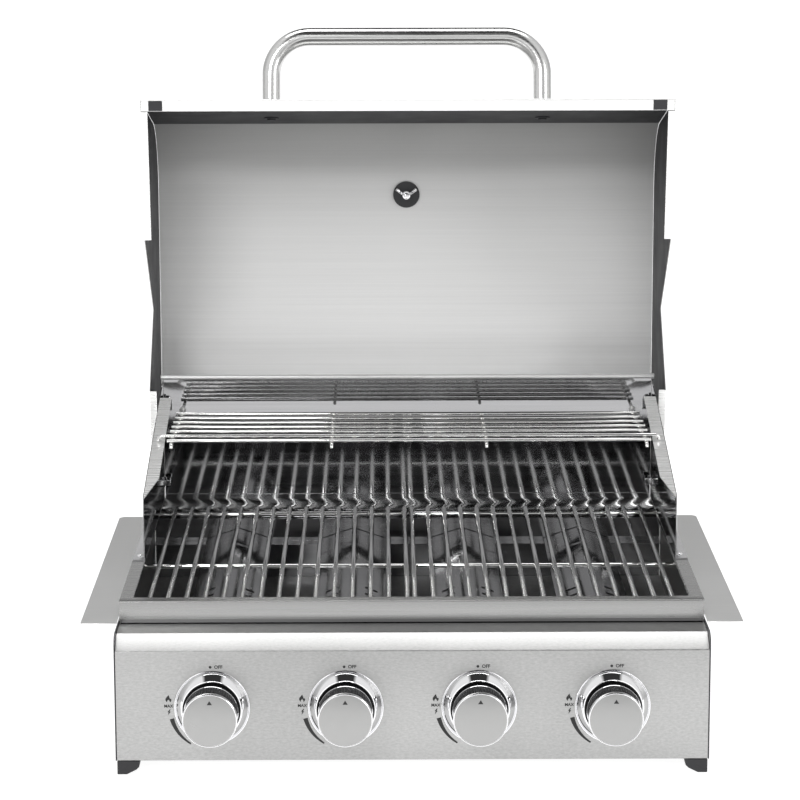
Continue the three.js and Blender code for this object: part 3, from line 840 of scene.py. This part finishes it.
class GRILL_OT_firebox(bpy.types.Operator):
    """Firebox walls, rail, ledges, splash back, floor, tray and cradle"""

    bl_idname = "grill.firebox"
    bl_label = "Firebox"

    def execute(self, context):
        half = high("front_rail").x
        top = high("front_rail").z
        front = low("front_rail").y
        rail = bent_sheet(
            "front_rail_sheet",
            [at(0, 74, top), at(0, front, top), at(0, front, 152.5)],
            (-half * MM, half * MM),
            {1: 1.2},
            "base",
            "rail",
            ("front_rail",),
        )
        rounded(rail, 0.2)
        # The firebox walls take the darker copy of the bright sheet, as painted shade.
        walls = {"firebox_front_wall": "deep_painted_shade", "firebox_rear_wall": "deep_painted_shade", "splash_back": "back"}
        for node, finish in walls.items():
            wall = refined(node, "base", finish, 0.2)
            if node == "splash_back":
                hem = (high(node).z - 6.3) * MM
                paint(wall, "mill", lambda c, n: n.y > 0.95)
                # The hem along the top gets the painted highlight.
                paint(wall, "lip", lambda c, n: c.z > hem)
        for node in ("firebox_floor", "tray_cradle"):
            refined(node, "base", "coated", 0.2)
        refined("grease_tray", "tray", "coated", 0.4)
        for side in ("left", "right"):
            # The firebox sides take the darker copy of the brushed steel, as painted shade.
            refined(f"firebox_side_{side}", "base", "side", 0.2)
            refined(f"side_ledge_{side}", "base", "rail", 0.2)
            # The wings take the lighter copy of the brushed steel, as painted light.
            refined(f"mounting_wing_{side}", "base", "wing", 0.3)
            panel = refined(f"fixed_side_{side}", "base", "bright", 0.25)
            inner = min(abs(low(f"fixed_side_{side}").x), abs(high(f"fixed_side_{side}").x)) + 13.2
            sign = -1 if side == "left" else 1
            # The outer face takes the darker copy of the brushed steel, as painted shade.
            paint(panel, "side", lambda c, n: n.x * sign > 0.9)
            # The inner flange gets the painted highlight.
            paint(panel, "lip", lambda c, n: abs(c.x) / MM < inner)
            self.ledge_screws(side)
        return {"FINISHED"}

    def ledge_screws(self, side):
        """Screws in the fixed side panel's foot, and a domed screw in its inner face."""
        sign = -1 if side == "left" else 1
        top = low(f"fixed_side_{side}").z + settings()[1].sheet
        bm = bmesh.new()
        dome = [(0, 2.2), (2.2, 1.9), (3.8, 0.9), (4.3, -0.1), (0, -0.1)]
        for y in (252, 400):
            add_ring_profile(bm, dome, at(sign * 302, y, top), (0, 0, 1), (1, 0, 0), 20)
        shell = sign * min(abs(low(f"fixed_side_{side}").x), abs(high(f"fixed_side_{side}").x))
        shell += sign * 13.5
        head = [(0, 9.0), (3.4, 8.4), (6.0, 6.2), (6.6, 2.0), (8.0, 1.8), (8.0, -0.2), (0, -0.2)]
        add_ring_profile(bm, head, at(shell, 541, 289), (-sign, 0, 0), (0, 0, 1), 24)
        finished(bm, f"ledge_screws_{side}", "base", "chrome")


class GRILL_OT_grates(bpy.types.Operator):
    """Cooking grates and the warming rack, from smooth round bars"""

    bl_idname = "grill.grates"
    bl_label = "Grates and rack"

    def execute(self, context):
        for side, sign in (("left", -1), ("right", 1)):
            self.grate(side, sign)
        self.rack()
        return {"FINISHED"}

    def grate(self, side, sign):
        """One grate: long bars over three cross bars."""
        bm = bmesh.new()
        bar = GRATE_BAR
        long_z = high(f"cooking_grate_{side}").z - bar / 2
        cross_z = low(f"cooking_grate_{side}").z + bar / 2
        for number in range(GRATE_BARS):
            x = sign * (FIRST_GRATE_BAR + GRATE_PITCH * number)
            add_bar(bm, at(x, 64, long_z), at(x, 552, long_z), bar - 0.1)
        for y in CROSS_BAR_Y:
            add_bar(bm, at(sign * 2.2, y, cross_z), at(sign * 304.7, y, cross_z), bar - 0.2)
        finished(bm, f"grate_bars_{side}", "base", "rod", (f"cooking_grate_{side}",), 50)

    def rack(self):
        """The warming rack: long wires over cross wires whose front ends turn down."""
        bm = bmesh.new()
        wire = RACK_WIRE
        z = high("warming_rack").z - wire / 2 - 0.05
        low_z = z - 4.0
        for number in range(RACK_BARS):
            y = RACK_FRONT + RACK_PITCH * number
            if number == 1:
                self.hooked_bar(bm, y, z, wire)
            else:
                add_bar(bm, at(-278, y, z), at(278, y, z), wire)
        for x in RACK_CROSS_X:
            rear = high("warming_rack").y - 0.2 if abs(x) > 200 else 515
            radius = 4.0
            start = at(x, rear, low_z)
            corner = at(x, 350.5 + radius, low_z)
            moves = [
                ("go", (start - corner).length),
                ("turn", corner - Vector((0, 0, radius * MM)), Vector((1, 0, 0)), radians(90), 6),
            ]
            add_pipe(bm, start, (0, -1, 0), wire - 0.2, moves, 10)
        finished(bm, "rack_bars", "base", "rod", ("warming_rack",), 50)

    def hooked_bar(self, bm, y, z, wire):
        """The bar whose ends turn down on to the side panels."""
        radius = 5.0
        half_span, foot_z = 289.6, 278.8
        half = half_span - radius
        start = at(-half_span, y, foot_z)
        corner = at(-half, y, z - radius)
        rise = z - radius - foot_z
        moves = [
            ("go", rise * MM),
            ("turn", corner, Vector((0, 1, 0)), radians(90), 6),
            ("go", 2 * half * MM),
            ("turn", at(half, y, z - radius), Vector((0, 1, 0)), radians(90), 6),
            ("go", rise * MM),
        ]
        add_pipe(bm, start, (0, 0, 1), wire, moves, 12)


class GRILL_OT_heat(bpy.types.Operator):
    """Flame tamers, burners, igniters and the gas train"""

    bl_idname = "grill.heat"
    bl_label = "Flame tamers and burners"

    vent_depths = (257, 285)
    vent_reach = (15, 29)
    vent_width = 8
    vent_slant = 0.25

    def execute(self, context):
        for number in range(1, 5):
            self.tamer(number)
            self.burner(number)
            refined(f"gas_valve_{number}", "base", "brass", 0.5)
            refined(f"valve_stem_{number}", f"stem_{number}", "chrome", 0.3)
        refined("gas_manifold", "base", "coated", 0.4)
        return {"FINISHED"}

    def tamer(self, number):
        """An inverted V sheet in two lapped lengths, with vents half-way along."""
        node = f"flame_tamer_{number}"
        middle = (low(node).x + high(node).x) / 2
        half = (high(node).x - low(node).x) / 2
        foot, peak = low(node).z, high(node).z
        bm = bmesh.new()
        for first, last, drop in ((64, 490, 1.0), (480, 552, 0.0)):
            slopes = []
            for sign in (-1, 1):
                corners = [
                    at(middle, first, peak - 1.1 - drop),
                    at(middle, last, peak - 1.1 - drop),
                    at(middle + sign * (half - 0.3), last, foot + 1.4 - drop),
                    at(middle + sign * (half - 0.3), first, foot + 1.4 - drop),
                ]
                slopes.append(bm.faces.new([bm.verts.new(c) for c in corners]))
            bmesh.ops.remove_doubles(bm, verts=bm.verts[:], dist=1e-6)
        self.vents(bm, middle)
        bmesh.ops.recalc_face_normals(bm, faces=bm.faces[:])
        bmesh.ops.solidify(bm, geom=bm.faces[:], thickness=-0.9 * MM)
        # The tamers take the darker copy of the bright sheet, as painted shade.
        finished(bm, f"flame_tamer_sheet_{number}", "base", "deep_painted_shade", (node,), 12)

    def vents(self, bm, middle):
        """Cuts two slanted slots in each slope."""
        inner, outer = self.vent_reach
        for y in self.vent_depths:
            for sign in (-1, 1):
                for plane_y in (y, y + self.vent_width):
                    point = at(middle + sign * inner, plane_y, 0)
                    bmesh.ops.bisect_plane(
                        bm,
                        geom=bm.verts[:] + bm.edges[:] + bm.faces[:],
                        plane_co=point,
                        plane_no=(sign * self.vent_slant, 1, 0),
                        dist=1e-7,
                    )
        for sign in (-1, 1):
            for x in self.vent_reach:
                bmesh.ops.bisect_plane(
                    bm,
                    geom=bm.verts[:] + bm.edges[:] + bm.faces[:],
                    plane_co=at(middle + sign * x, 0, 0),
                    plane_no=(1, 0, 0),
                    dist=1e-7,
                )
        doomed = []
        for face in bm.faces:
            centre = face.calc_center_median()
            across = abs(centre.x / MM - middle)
            along = (centre.y - FACE_Y) / MM
            if inner < across < outer:
                slant = along + self.vent_slant * (across - inner)
                if any(y < slant < y + self.vent_width for y in self.vent_depths):
                    doomed.append(face)
        bmesh.ops.delete(bm, geom=doomed, context="FACES")

    def burner(self, number):
        """A round tube burner with a swaged neck, a row of ports on each side drawn as dark discs of painted
        shade, and an igniter.
        """
        node = f"burner_{number}"
        centre = (low(node) + high(node)) / 2
        radius = (high(node).x - low(node).x) / 2 - 0.1
        profile = [
            (8.2, 50.2),
            (10.8, 50.2),
            (10.8, 98),
            (13.0, 108),
            (radius, 116),
            (radius, 522),
            (radius - 3, 529.5),
            (0, 529.8),
        ]
        bm = bmesh.new()
        add_ring_profile(bm, profile, at(centre.x, 0, centre.z), (0, 1, 0), (0, 0, 1), 28)
        bmesh.ops.recalc_face_normals(bm, faces=bm.faces[:])
        bmesh.ops.solidify(bm, geom=bm.faces[:], thickness=0.8 * MM)
        finished(bm, f"burner_tube_{number}", "base", "coated", (node,), 30)
        bm = bmesh.new()
        # The ports are not cut: dark discs on the tube stand in for the holes as painted shade.
        ports, first_port, pitch = 32, 130, 12
        for sign in (-1, 1):
            for step in range(ports):
                place = at(centre.x + sign * 10.6, first_port + step * pitch, centre.z + 11.6)
                tilt = turn_to((sign * 0.68, 0, 0.73))
                bmesh.ops.create_circle(
                    bm, cap_ends=True, segments=8, radius=1.3 * MM, matrix=Matrix.Translation(place) @ tilt
                )
        bmesh.ops.solidify(bm, geom=bm.faces[:], thickness=0.4 * MM)
        finished(bm, f"burner_port_shade_{number}", "base", "black")
        bm = bmesh.new()
        spot = at(centre.x + 24, 150, centre.z + 4)
        add_bar(bm, spot, spot + Vector((0, -40 * MM, 0)), 5.0, 14)
        finished(bm, f"igniter_{number}", "base", "ceramic")


class GRILL_OT_lid(bpy.types.Operator):
    """Lid skin, end panels, pads, handle, hinge bolts and stops"""

    bl_idname = "grill.lid"
    bl_label = "Lid"

    def execute(self, context):
        self.skin()
        for side in ("left", "right"):
            self.end_panel(side)
            refined(f"hinge_bolt_{side}", "base", "chrome", 0.4)
            refined(f"lid_stop_{side}", "base", "chrome", 0.4)
        self.pads()
        self.handle()
        return {"FINISHED"}

    def skin(self):
        """The lid's bent sheet, drawn closed and carried open, with its faces finished apart."""
        half = high("lid_skin").x
        face = Vector((0, BROW_Y - LIP_Y, BROW_Z - LIP_Z)).normalized()
        brow = BROW_RADIUS * tan((atan2(face.z, face.y) + ROOF_SLOPE) / 2)
        top = Vector((0, BROW_Y, BROW_Z)) + face * brow
        roof = Vector((0, cos(ROOF_SLOPE), -sin(ROOF_SLOPE)))
        roof_start = top + roof * brow
        run = (REAR_CORNER_Y - roof_start.y) / roof.y
        tail = REAR_RADIUS * tan((REAR_LEAN - ROOF_SLOPE) / 2)
        corner = roof_start + roof * (run + tail)
        down = Vector((0, cos(REAR_LEAN), -sin(REAR_LEAN)))
        line = [
            Vector((0, LIP_Y + 13.2, LIP_Z + 0.1)),
            Vector((0, LIP_Y + 0.1, LIP_Z + 0.1)),
            top,
            corner,
            corner + down * ((corner.z - LID_HEM_Z) / -down.z),
        ]
        world = [lid_at(0, p.y, p.z) for p in line]
        piece = bent_sheet(
            "lid_skin_sheet",
            world,
            (-half * MM, half * MM),
            {1: 1.0, 2: BROW_RADIUS - 0.5, 3: REAR_RADIUS - 0.5},
            "lid",
            "hood",
            ("lid_skin",),
            1.0,
        )
        lip, brow_start = lid_at(0, LIP_Y, LIP_Z), lid_at(0, BROW_Y, BROW_Z)
        along = (brow_start - lip).normalized()
        inward = Vector((0, along.z, -along.y))
        middle = lid_at(0, 330, 250)
        # The skin's inside gets the lining with painted shade.
        paint(piece, "hood_inside", lambda c, n: n.dot(middle - c) > 0 and (c - lip).dot(along) > 0.02)
        # The face's inner band gets the dark painted shade.
        paint(piece, "shade", lambda c, n: n.dot(inward) > 0.999 and (c - lip).dot(along) > 0.02)
        # The lip flange gets the painted highlight.
        paint(piece, "lip", lambda c, n: (c - lip).length < 0.32 and abs((c - lip).dot(along)) < 0.012)
        rounded(piece, 0.2)

    def end_panel(self, side):
        """An end panel: brushed outside, with dark painted shade on its inner face and a painted highlight on
        its flanges.
        """
        sign = -1 if side == "left" else 1
        panel = refined(f"lid_end_{side}", "lid", "hood", 0.25)
        inner = min(abs(low(f"lid_end_{side}").x), abs(high(f"lid_end_{side}").x)) + 6.9
        # The inner face gets the dark painted shade.
        paint(panel, "shade", lambda c, n: n.x * sign < -0.9)
        # The flanges get the painted highlight.
        paint(panel, "lip", lambda c, n: abs(c.x) / MM < inner)

    def pads(self):
        """Rubber pads under the lip."""
        bm = bmesh.new()
        for sign in (-1, 1):
            corners = (lid_at(sign * 283, 60.6, 174.2), lid_at(sign * 299, 72.6, 172.9))
            made = bmesh.ops.create_cube(bm, size=1.0)
            sized = Matrix.Diagonal((16 * MM, 12 * MM, 1.3 * MM, 1.0))
            middle = (corners[0] + corners[1]) / 2
            turn = Matrix.Rotation(-OPEN_ANGLE, 4, "X")
            bmesh.ops.transform(bm, matrix=Matrix.Translation(middle) @ turn @ sized, verts=made["verts"])
        pads = finished(bm, "lid_pads", "lid", "rubber")
        rounded(pads, 0.3)

    def handle(self):
        """The bent tube, and the screw washers on the inside of the face."""
        node = "lid_handle"
        half = high(node).x - 11.25
        reach, bend = HANDLE_REACH, HANDLE_BEND
        up = Vector((0, BROW_Y - LIP_Y, BROW_Z - LIP_Z)).normalized()
        foot = Vector((0, LIP_Y, LIP_Z)) + up * HANDLE_UP_FACE
        outward = Vector((0, -up.z, up.y))

        def place(x, out):
            return lid_at(x, foot.y + outward.y * out, foot.z + outward.z * out)

        heading = (place(0, 10) - place(0, 0)).normalized()
        side = Vector((1, 0, 0))
        axis = heading.cross(side).normalized()
        start = place(-half, 1.6)
        corner = place(-half + bend, reach - bend)
        far_corner = place(half - bend, reach - bend)
        leg = (reach - bend - 1.6) * MM
        moves = [
            ("go", leg),
            ("turn", corner, axis, radians(90), 14),
            ("go", 2 * (half - bend) * MM),
            ("turn", far_corner, axis, radians(90), 14),
            ("go", leg),
        ]
        bm = bmesh.new()
        add_pipe(bm, start, heading, 2 * HANDLE_RADIUS, moves, 28)
        finished(bm, "handle_tube", "lid", "tube", (node,), 50)
        bm = bmesh.new()
        for sign in (-1, 1):
            washer = [(0, 3.2), (5.0, 3.2), (5.2, 1.4), (9.0, 1.2), (9.0, 0.1), (0, 0.1)]
            add_ring_profile(bm, washer, place(sign * half, -0.1), -heading, (1, 0, 0), 24)
        finished(bm, "handle_screws", "lid", "black")


class GRILL_OT_gauge(bpy.types.Operator):
    """Thermometer with its dial outside and its wing nut inside the lid"""

    bl_idname = "grill.gauge"
    bl_label = "Thermometer"

    def execute(self, context):
        box_low, box_high = low("lid_thermometer"), high("lid_thermometer")
        centre = at(0, 0, (box_low.z + box_high.z) / 2)
        self.housing(centre, box_low.y, box_high.y)
        self.dial(centre, box_high.y)
        self.clamp()
        return {"FINISHED"}

    def housing(self, centre, inner, outer):
        """The chromed case and its stem."""
        case = [
            (0, outer - 10.7),
            (25.5, outer - 10.7),
            (27.9, outer - 8.8),
            (27.9, outer - 1.4),
            (27.2, outer - 0.2),
            (26.0, outer - 0.2),
            (25.2, outer - 1.6),
            (0, outer - 1.6),
        ]
        bm = bmesh.new()
        add_ring_profile(bm, case, centre, (0, 1, 0), (0, 0, 1), 64)
        step = Vector((0, MM, 0))
        add_bar(bm, centre + step * (inner + 0.1), centre + step * (outer - 9), 5.8, 20)
        finished(bm, "thermometer_case", "lid", "chrome", ("lid_thermometer",), 35)

    def dial(self, centre, outer):
        """A pale card with ticks, numbers and a pointer under the rim."""
        level = centre + Vector((0, (outer - 1.45) * MM, 0))
        out = Matrix.Rotation(pi, 4, "Z") @ Matrix.Rotation(pi / 2, 4, "X")
        bm = bmesh.new()
        bmesh.ops.create_circle(
            bm, cap_ends=True, segments=64, radius=25.0 * MM, matrix=Matrix.Translation(level) @ out
        )
        bmesh.ops.solidify(bm, geom=bm.faces[:], thickness=0.1 * MM)
        finished(bm, "thermometer_card", "lid", "dial")
        bm = bmesh.new()
        for number in range(25):
            angle = radians(-135 + 270 * number / 24)
            length = 3.2 if number % 4 == 0 else 1.8
            spoke = Matrix.Translation((0, (23.4 - length / 2) * MM, 0))
            sized = Matrix.Diagonal((0.5 * MM, length * MM, 0.1 * MM, 1))
            raised = Matrix.Translation(level + Vector((0, 0.1 * MM, 0)))
            turned = raised @ out @ Matrix.Rotation(-angle, 4, "Z")
            bmesh.ops.create_cube(bm, size=1.0, matrix=turned @ spoke @ sized)
        for number in range(7):
            angle = radians(-135 + 45 * number)
            place = Matrix.Translation((15.6 * sin(angle) * MM, 15.6 * cos(angle) * MM, 0))
            lettering(bm, str(50 + 50 * number), 4.6, Matrix.Translation(level) @ out @ place)
        needle = [(-0.8, -4), (0.8, -4), (0.35, 19), (-0.35, 19)]
        raised = Matrix.Translation(level + Vector((0, 0.2 * MM, 0)))
        turned = raised @ out @ Matrix.Rotation(radians(130), 4, "Z")
        corners = [bm.verts.new(turned @ Vector((x * MM, y * MM, 0))) for x, y in needle]
        bm.faces.new(corners)
        finished(bm, "thermometer_marks", "lid", "print")

    def clamp(self):
        """The black plate and the wing nut inside the lid."""
        box_low, box_high = low("thermometer_wing_nut"), high("thermometer_wing_nut")
        back = box_high.y
        centre = at(0, 0, (box_low.z + box_high.z) / 2)
        out, up = (0, -1, 0), (0, 0, 1)
        bm = bmesh.new()
        plate = [(3.3, 0.1), (15.8, 0.1), (16.4, 0.6), (16.3, 1.6), (3.3, 2.2), (3.3, 0.1)]
        plate = [(radius, depth - back) for radius, depth in plate]
        add_ring_profile(bm, plate, centre, out, up, 48)
        finished(bm, "thermometer_plate", "lid", "black", ("thermometer_wing_nut",), 35)
        bm = bmesh.new()
        hub = [(3.3, 2.4), (6.6, 2.4), (5.6, 9.0), (4.6, 10.6), (3.3, 10.8), (3.3, 2.4)]
        hub = [(radius, depth - back) for radius, depth in hub]
        add_ring_profile(bm, hub, centre, out, up, 32)
        for sign in (-1, 1):
            foot = centre + Vector((sign * 4.6 * MM, (back - 5.0) * MM, 1.2 * MM))
            tip = centre + Vector((sign * 12.4 * MM, (back - 8.6) * MM, 7.6 * MM))
            add_bar(bm, foot, tip, 4.2, 16, 1.2)
        finished(bm, "wing_nut", "lid", "chrome", (), 35)


class GRILL_OT_stage(bpy.types.Operator):
    """Pale floor, soft lights, and a camera in front of the grill"""

    bl_idname = "grill.stage"
    bl_label = "Studio"

    camera_place = (-30.3, -3019.6, 987.9)

    def execute(self, context):
        self.floor()
        self.lights()
        self.camera()
        return {"FINISHED"}

    def floor(self):
        """A paper floor lit from within, bright round the grill and dimmer far in front of it."""
        bm = bmesh.new()
        bmesh.ops.create_grid(bm, x_segments=2, y_segments=2, size=40.0)
        bmesh.ops.translate(bm, verts=bm.verts[:], vec=(0, 0, -0.0005))
        mesh = bpy.data.meshes.new("floor")
        bm.to_mesh(mesh)
        bm.free()
        floor = bpy.data.objects.new("floor", mesh)
        bpy.context.scene.collection.objects.link(floor)
        material, tree, shader = node_material("floor_paper", settings()[2].floor, 0.9, 0.0)
        shader.inputs["Specular IOR Level"].default_value = 0.0
        coordinates = tree.nodes.new("ShaderNodeTexCoord")
        split = tree.nodes.new("ShaderNodeSeparateXYZ")
        fade = tree.nodes.new("ShaderNodeMapRange")
        fade.inputs["From Min"].default_value = -9.0
        fade.inputs["From Max"].default_value = -1.6
        fade.inputs["To Min"].default_value = 0.10
        fade.inputs["To Max"].default_value = 0.92
        tree.links.new(coordinates.outputs["Object"], split.inputs["Vector"])
        tree.links.new(split.outputs["Y"], fade.inputs["Value"])
        tree.links.new(fade.outputs["Result"], shader.inputs["Emission Strength"])
        shader.inputs["Emission Color"].default_value = (1.0, 1.0, 1.0, 1.0)
        mesh.materials.append(material)

    def lights(self):
        """A pale sky with a dark beam overhead, and three soft boxes."""
        scene = bpy.context.scene
        scene.view_settings.view_transform = "Standard"
        world = bpy.data.worlds.new("studio")
        scene.world = world
        world.use_nodes = True
        tree = world.node_tree
        coordinates = tree.nodes.new("ShaderNodeTexCoord")
        split = tree.nodes.new("ShaderNodeSeparateXYZ")
        tree.links.new(coordinates.outputs["Generated"], split.inputs["Vector"])
        aside, ahead, upward = (split.outputs[name] for name in "XYZ")
        back = self.grey_steps(tree, upward, ((0.0, 0.62), (0.3, 0.6), (0.6, 0.75), (1.0, 0.9)))
        front = self.grey_steps(tree, upward, ((0.0, 0.45), (0.12, 0.9), (0.35, 0.9), (1.0, 0.9)))
        side = self.grey_steps(tree, ahead, ((0.0, 1.0), (0.02, 1.0), (0.05, 0.0), (1.0, 0.0)))
        sky_mix = tree.nodes.new("ShaderNodeMix")
        sky_mix.data_type = "RGBA"
        tree.links.new(side, sky_mix.inputs["Factor"])
        tree.links.new(back, sky_mix.inputs["A"])
        tree.links.new(front, sky_mix.inputs["B"])
        sky = sky_mix.outputs["Result"]
        across = tree.nodes.new("ShaderNodeMath")
        across.operation = "ABSOLUTE"
        tree.links.new(aside, across.inputs[0])
        beam_stops = ((0.0, 0.04), (0.30, 0.04), (0.42, 1.0), (1.0, 1.0))
        beam = self.grey_steps(tree, across.outputs["Value"], beam_stops)
        height = self.grey_steps(tree, upward, ((0.0, 0.0), (0.36, 0.0), (0.46, 1.0), (1.0, 1.0)))
        shaded = tree.nodes.new("ShaderNodeMix")
        shaded.data_type = "RGBA"
        shaded.blend_type = "MULTIPLY"
        tree.links.new(height, shaded.inputs["Factor"])
        tree.links.new(sky, shaded.inputs["A"])
        tree.links.new(beam, shaded.inputs["B"])
        tree.links.new(shaded.outputs["Result"], tree.nodes["Background"].inputs["Color"])
        self.softbox("key_light", (-1.4, -3.4, 2.4), (0, 0, 0.3), (1.2, 1.2), 50)
        self.softbox("fill_light", (2.6, -2.2, 1.4), (0, 0, 0.3), (0.8, 1.6), 25)
        self.softbox("top_light", (0, 0.6, 3.0), (0, 0, 0.3), (2.6, 1.2), 40)

    def grey_steps(self, tree, value, stops):
        """A grey ramp over a value."""
        node = tree.nodes.new("ShaderNodeValToRGB")
        for position, _ in stops[1:-1]:
            node.color_ramp.elements.new(position)
        for element, (position, grey) in zip(node.color_ramp.elements, stops):
            element.position = position
            element.color = (grey, grey, grey, 1.0)
        tree.links.new(value, node.inputs["Fac"])
        return node.outputs["Color"]

    def softbox(self, name, place, target, size, power):
        """An oblong area light that faces a target."""
        light = bpy.data.lights.new(name, "AREA")
        light.shape = "RECTANGLE"
        light.size, light.size_y = size
        light.energy = power
        holder = bpy.data.objects.new(name, light)
        bpy.context.scene.collection.objects.link(holder)
        aim = Vector(target) - Vector(place)
        turned = aim.to_track_quat("-Z", "Y").to_matrix().to_4x4()
        holder.matrix_world = Matrix.Translation(place) @ turned

    def camera(self):
        """The camera, placed in front of the grill and a little above it."""
        stage = settings()[2]
        data = bpy.data.cameras.new("camera")
        data.sensor_width = 36.0
        data.lens = stage.lens
        data.clip_end = 200.0
        holder = bpy.data.objects.new("camera", data)
        bpy.context.scene.collection.objects.link(holder)
        turned = (
            Matrix.Rotation(-stage.turn, 4, "Z")
            @ Matrix.Rotation(pi / 2 - stage.tilt, 4, "X")
            @ Matrix.Rotation(stage.roll, 4, "Z")
        )
        holder.matrix_world = Matrix.Translation(at(*self.camera_place)) @ turned
        bpy.context.scene.camera = holder


class GRILL_PT_sidebar(bpy.types.Panel):
    """Lists the grill's operators and settings"""

    bl_idname = "GRILL_PT_sidebar"
    bl_label = "Gas grill"
    bl_space_type = "VIEW_3D"
    bl_region_type = "UI"
    bl_category = "Grill"

    def draw(self, context):
        for operator in OPERATORS:
            self.layout.operator(operator.bl_idname)
        for group in settings():
            for name in group.bl_rna.properties.keys():
                if name not in ("rna_type", "name"):
                    self.layout.prop(group, name)


OPERATORS = (
    GRILL_OT_stage,
    GRILL_OT_panel,
    GRILL_OT_marks,
    GRILL_OT_knobs,
    GRILL_OT_firebox,
    GRILL_OT_grates,
    GRILL_OT_heat,
    GRILL_OT_lid,
    GRILL_OT_gauge,
)
GROUPS = (GrillMetalSettings, GrillShapeSettings, GrillStageSettings)


def register():
    for kind in (*GROUPS, *OPERATORS, GRILL_PT_sidebar):
        bpy.utils.register_class(kind)
    bpy.types.Scene.grill_metals = bpy.props.PointerProperty(type=GrillMetalSettings)
    bpy.types.Scene.grill_shapes = bpy.props.PointerProperty(type=GrillShapeSettings)
    bpy.types.Scene.grill_stage = bpy.props.PointerProperty(type=GrillStageSettings)


def unregister():
    del bpy.types.Scene.grill_metals
    del bpy.types.Scene.grill_shapes
    del bpy.types.Scene.grill_stage
    for kind in reversed((*GROUPS, *OPERATORS, GRILL_PT_sidebar)):
        bpy.utils.unregister_class(kind)


def main():
    register()
    MATERIALS.update(make_materials())
    for operator in OPERATORS:
        getattr(bpy.ops.grill, operator.bl_idname.split(".")[1])()


if __name__ == "__main__":
    main()
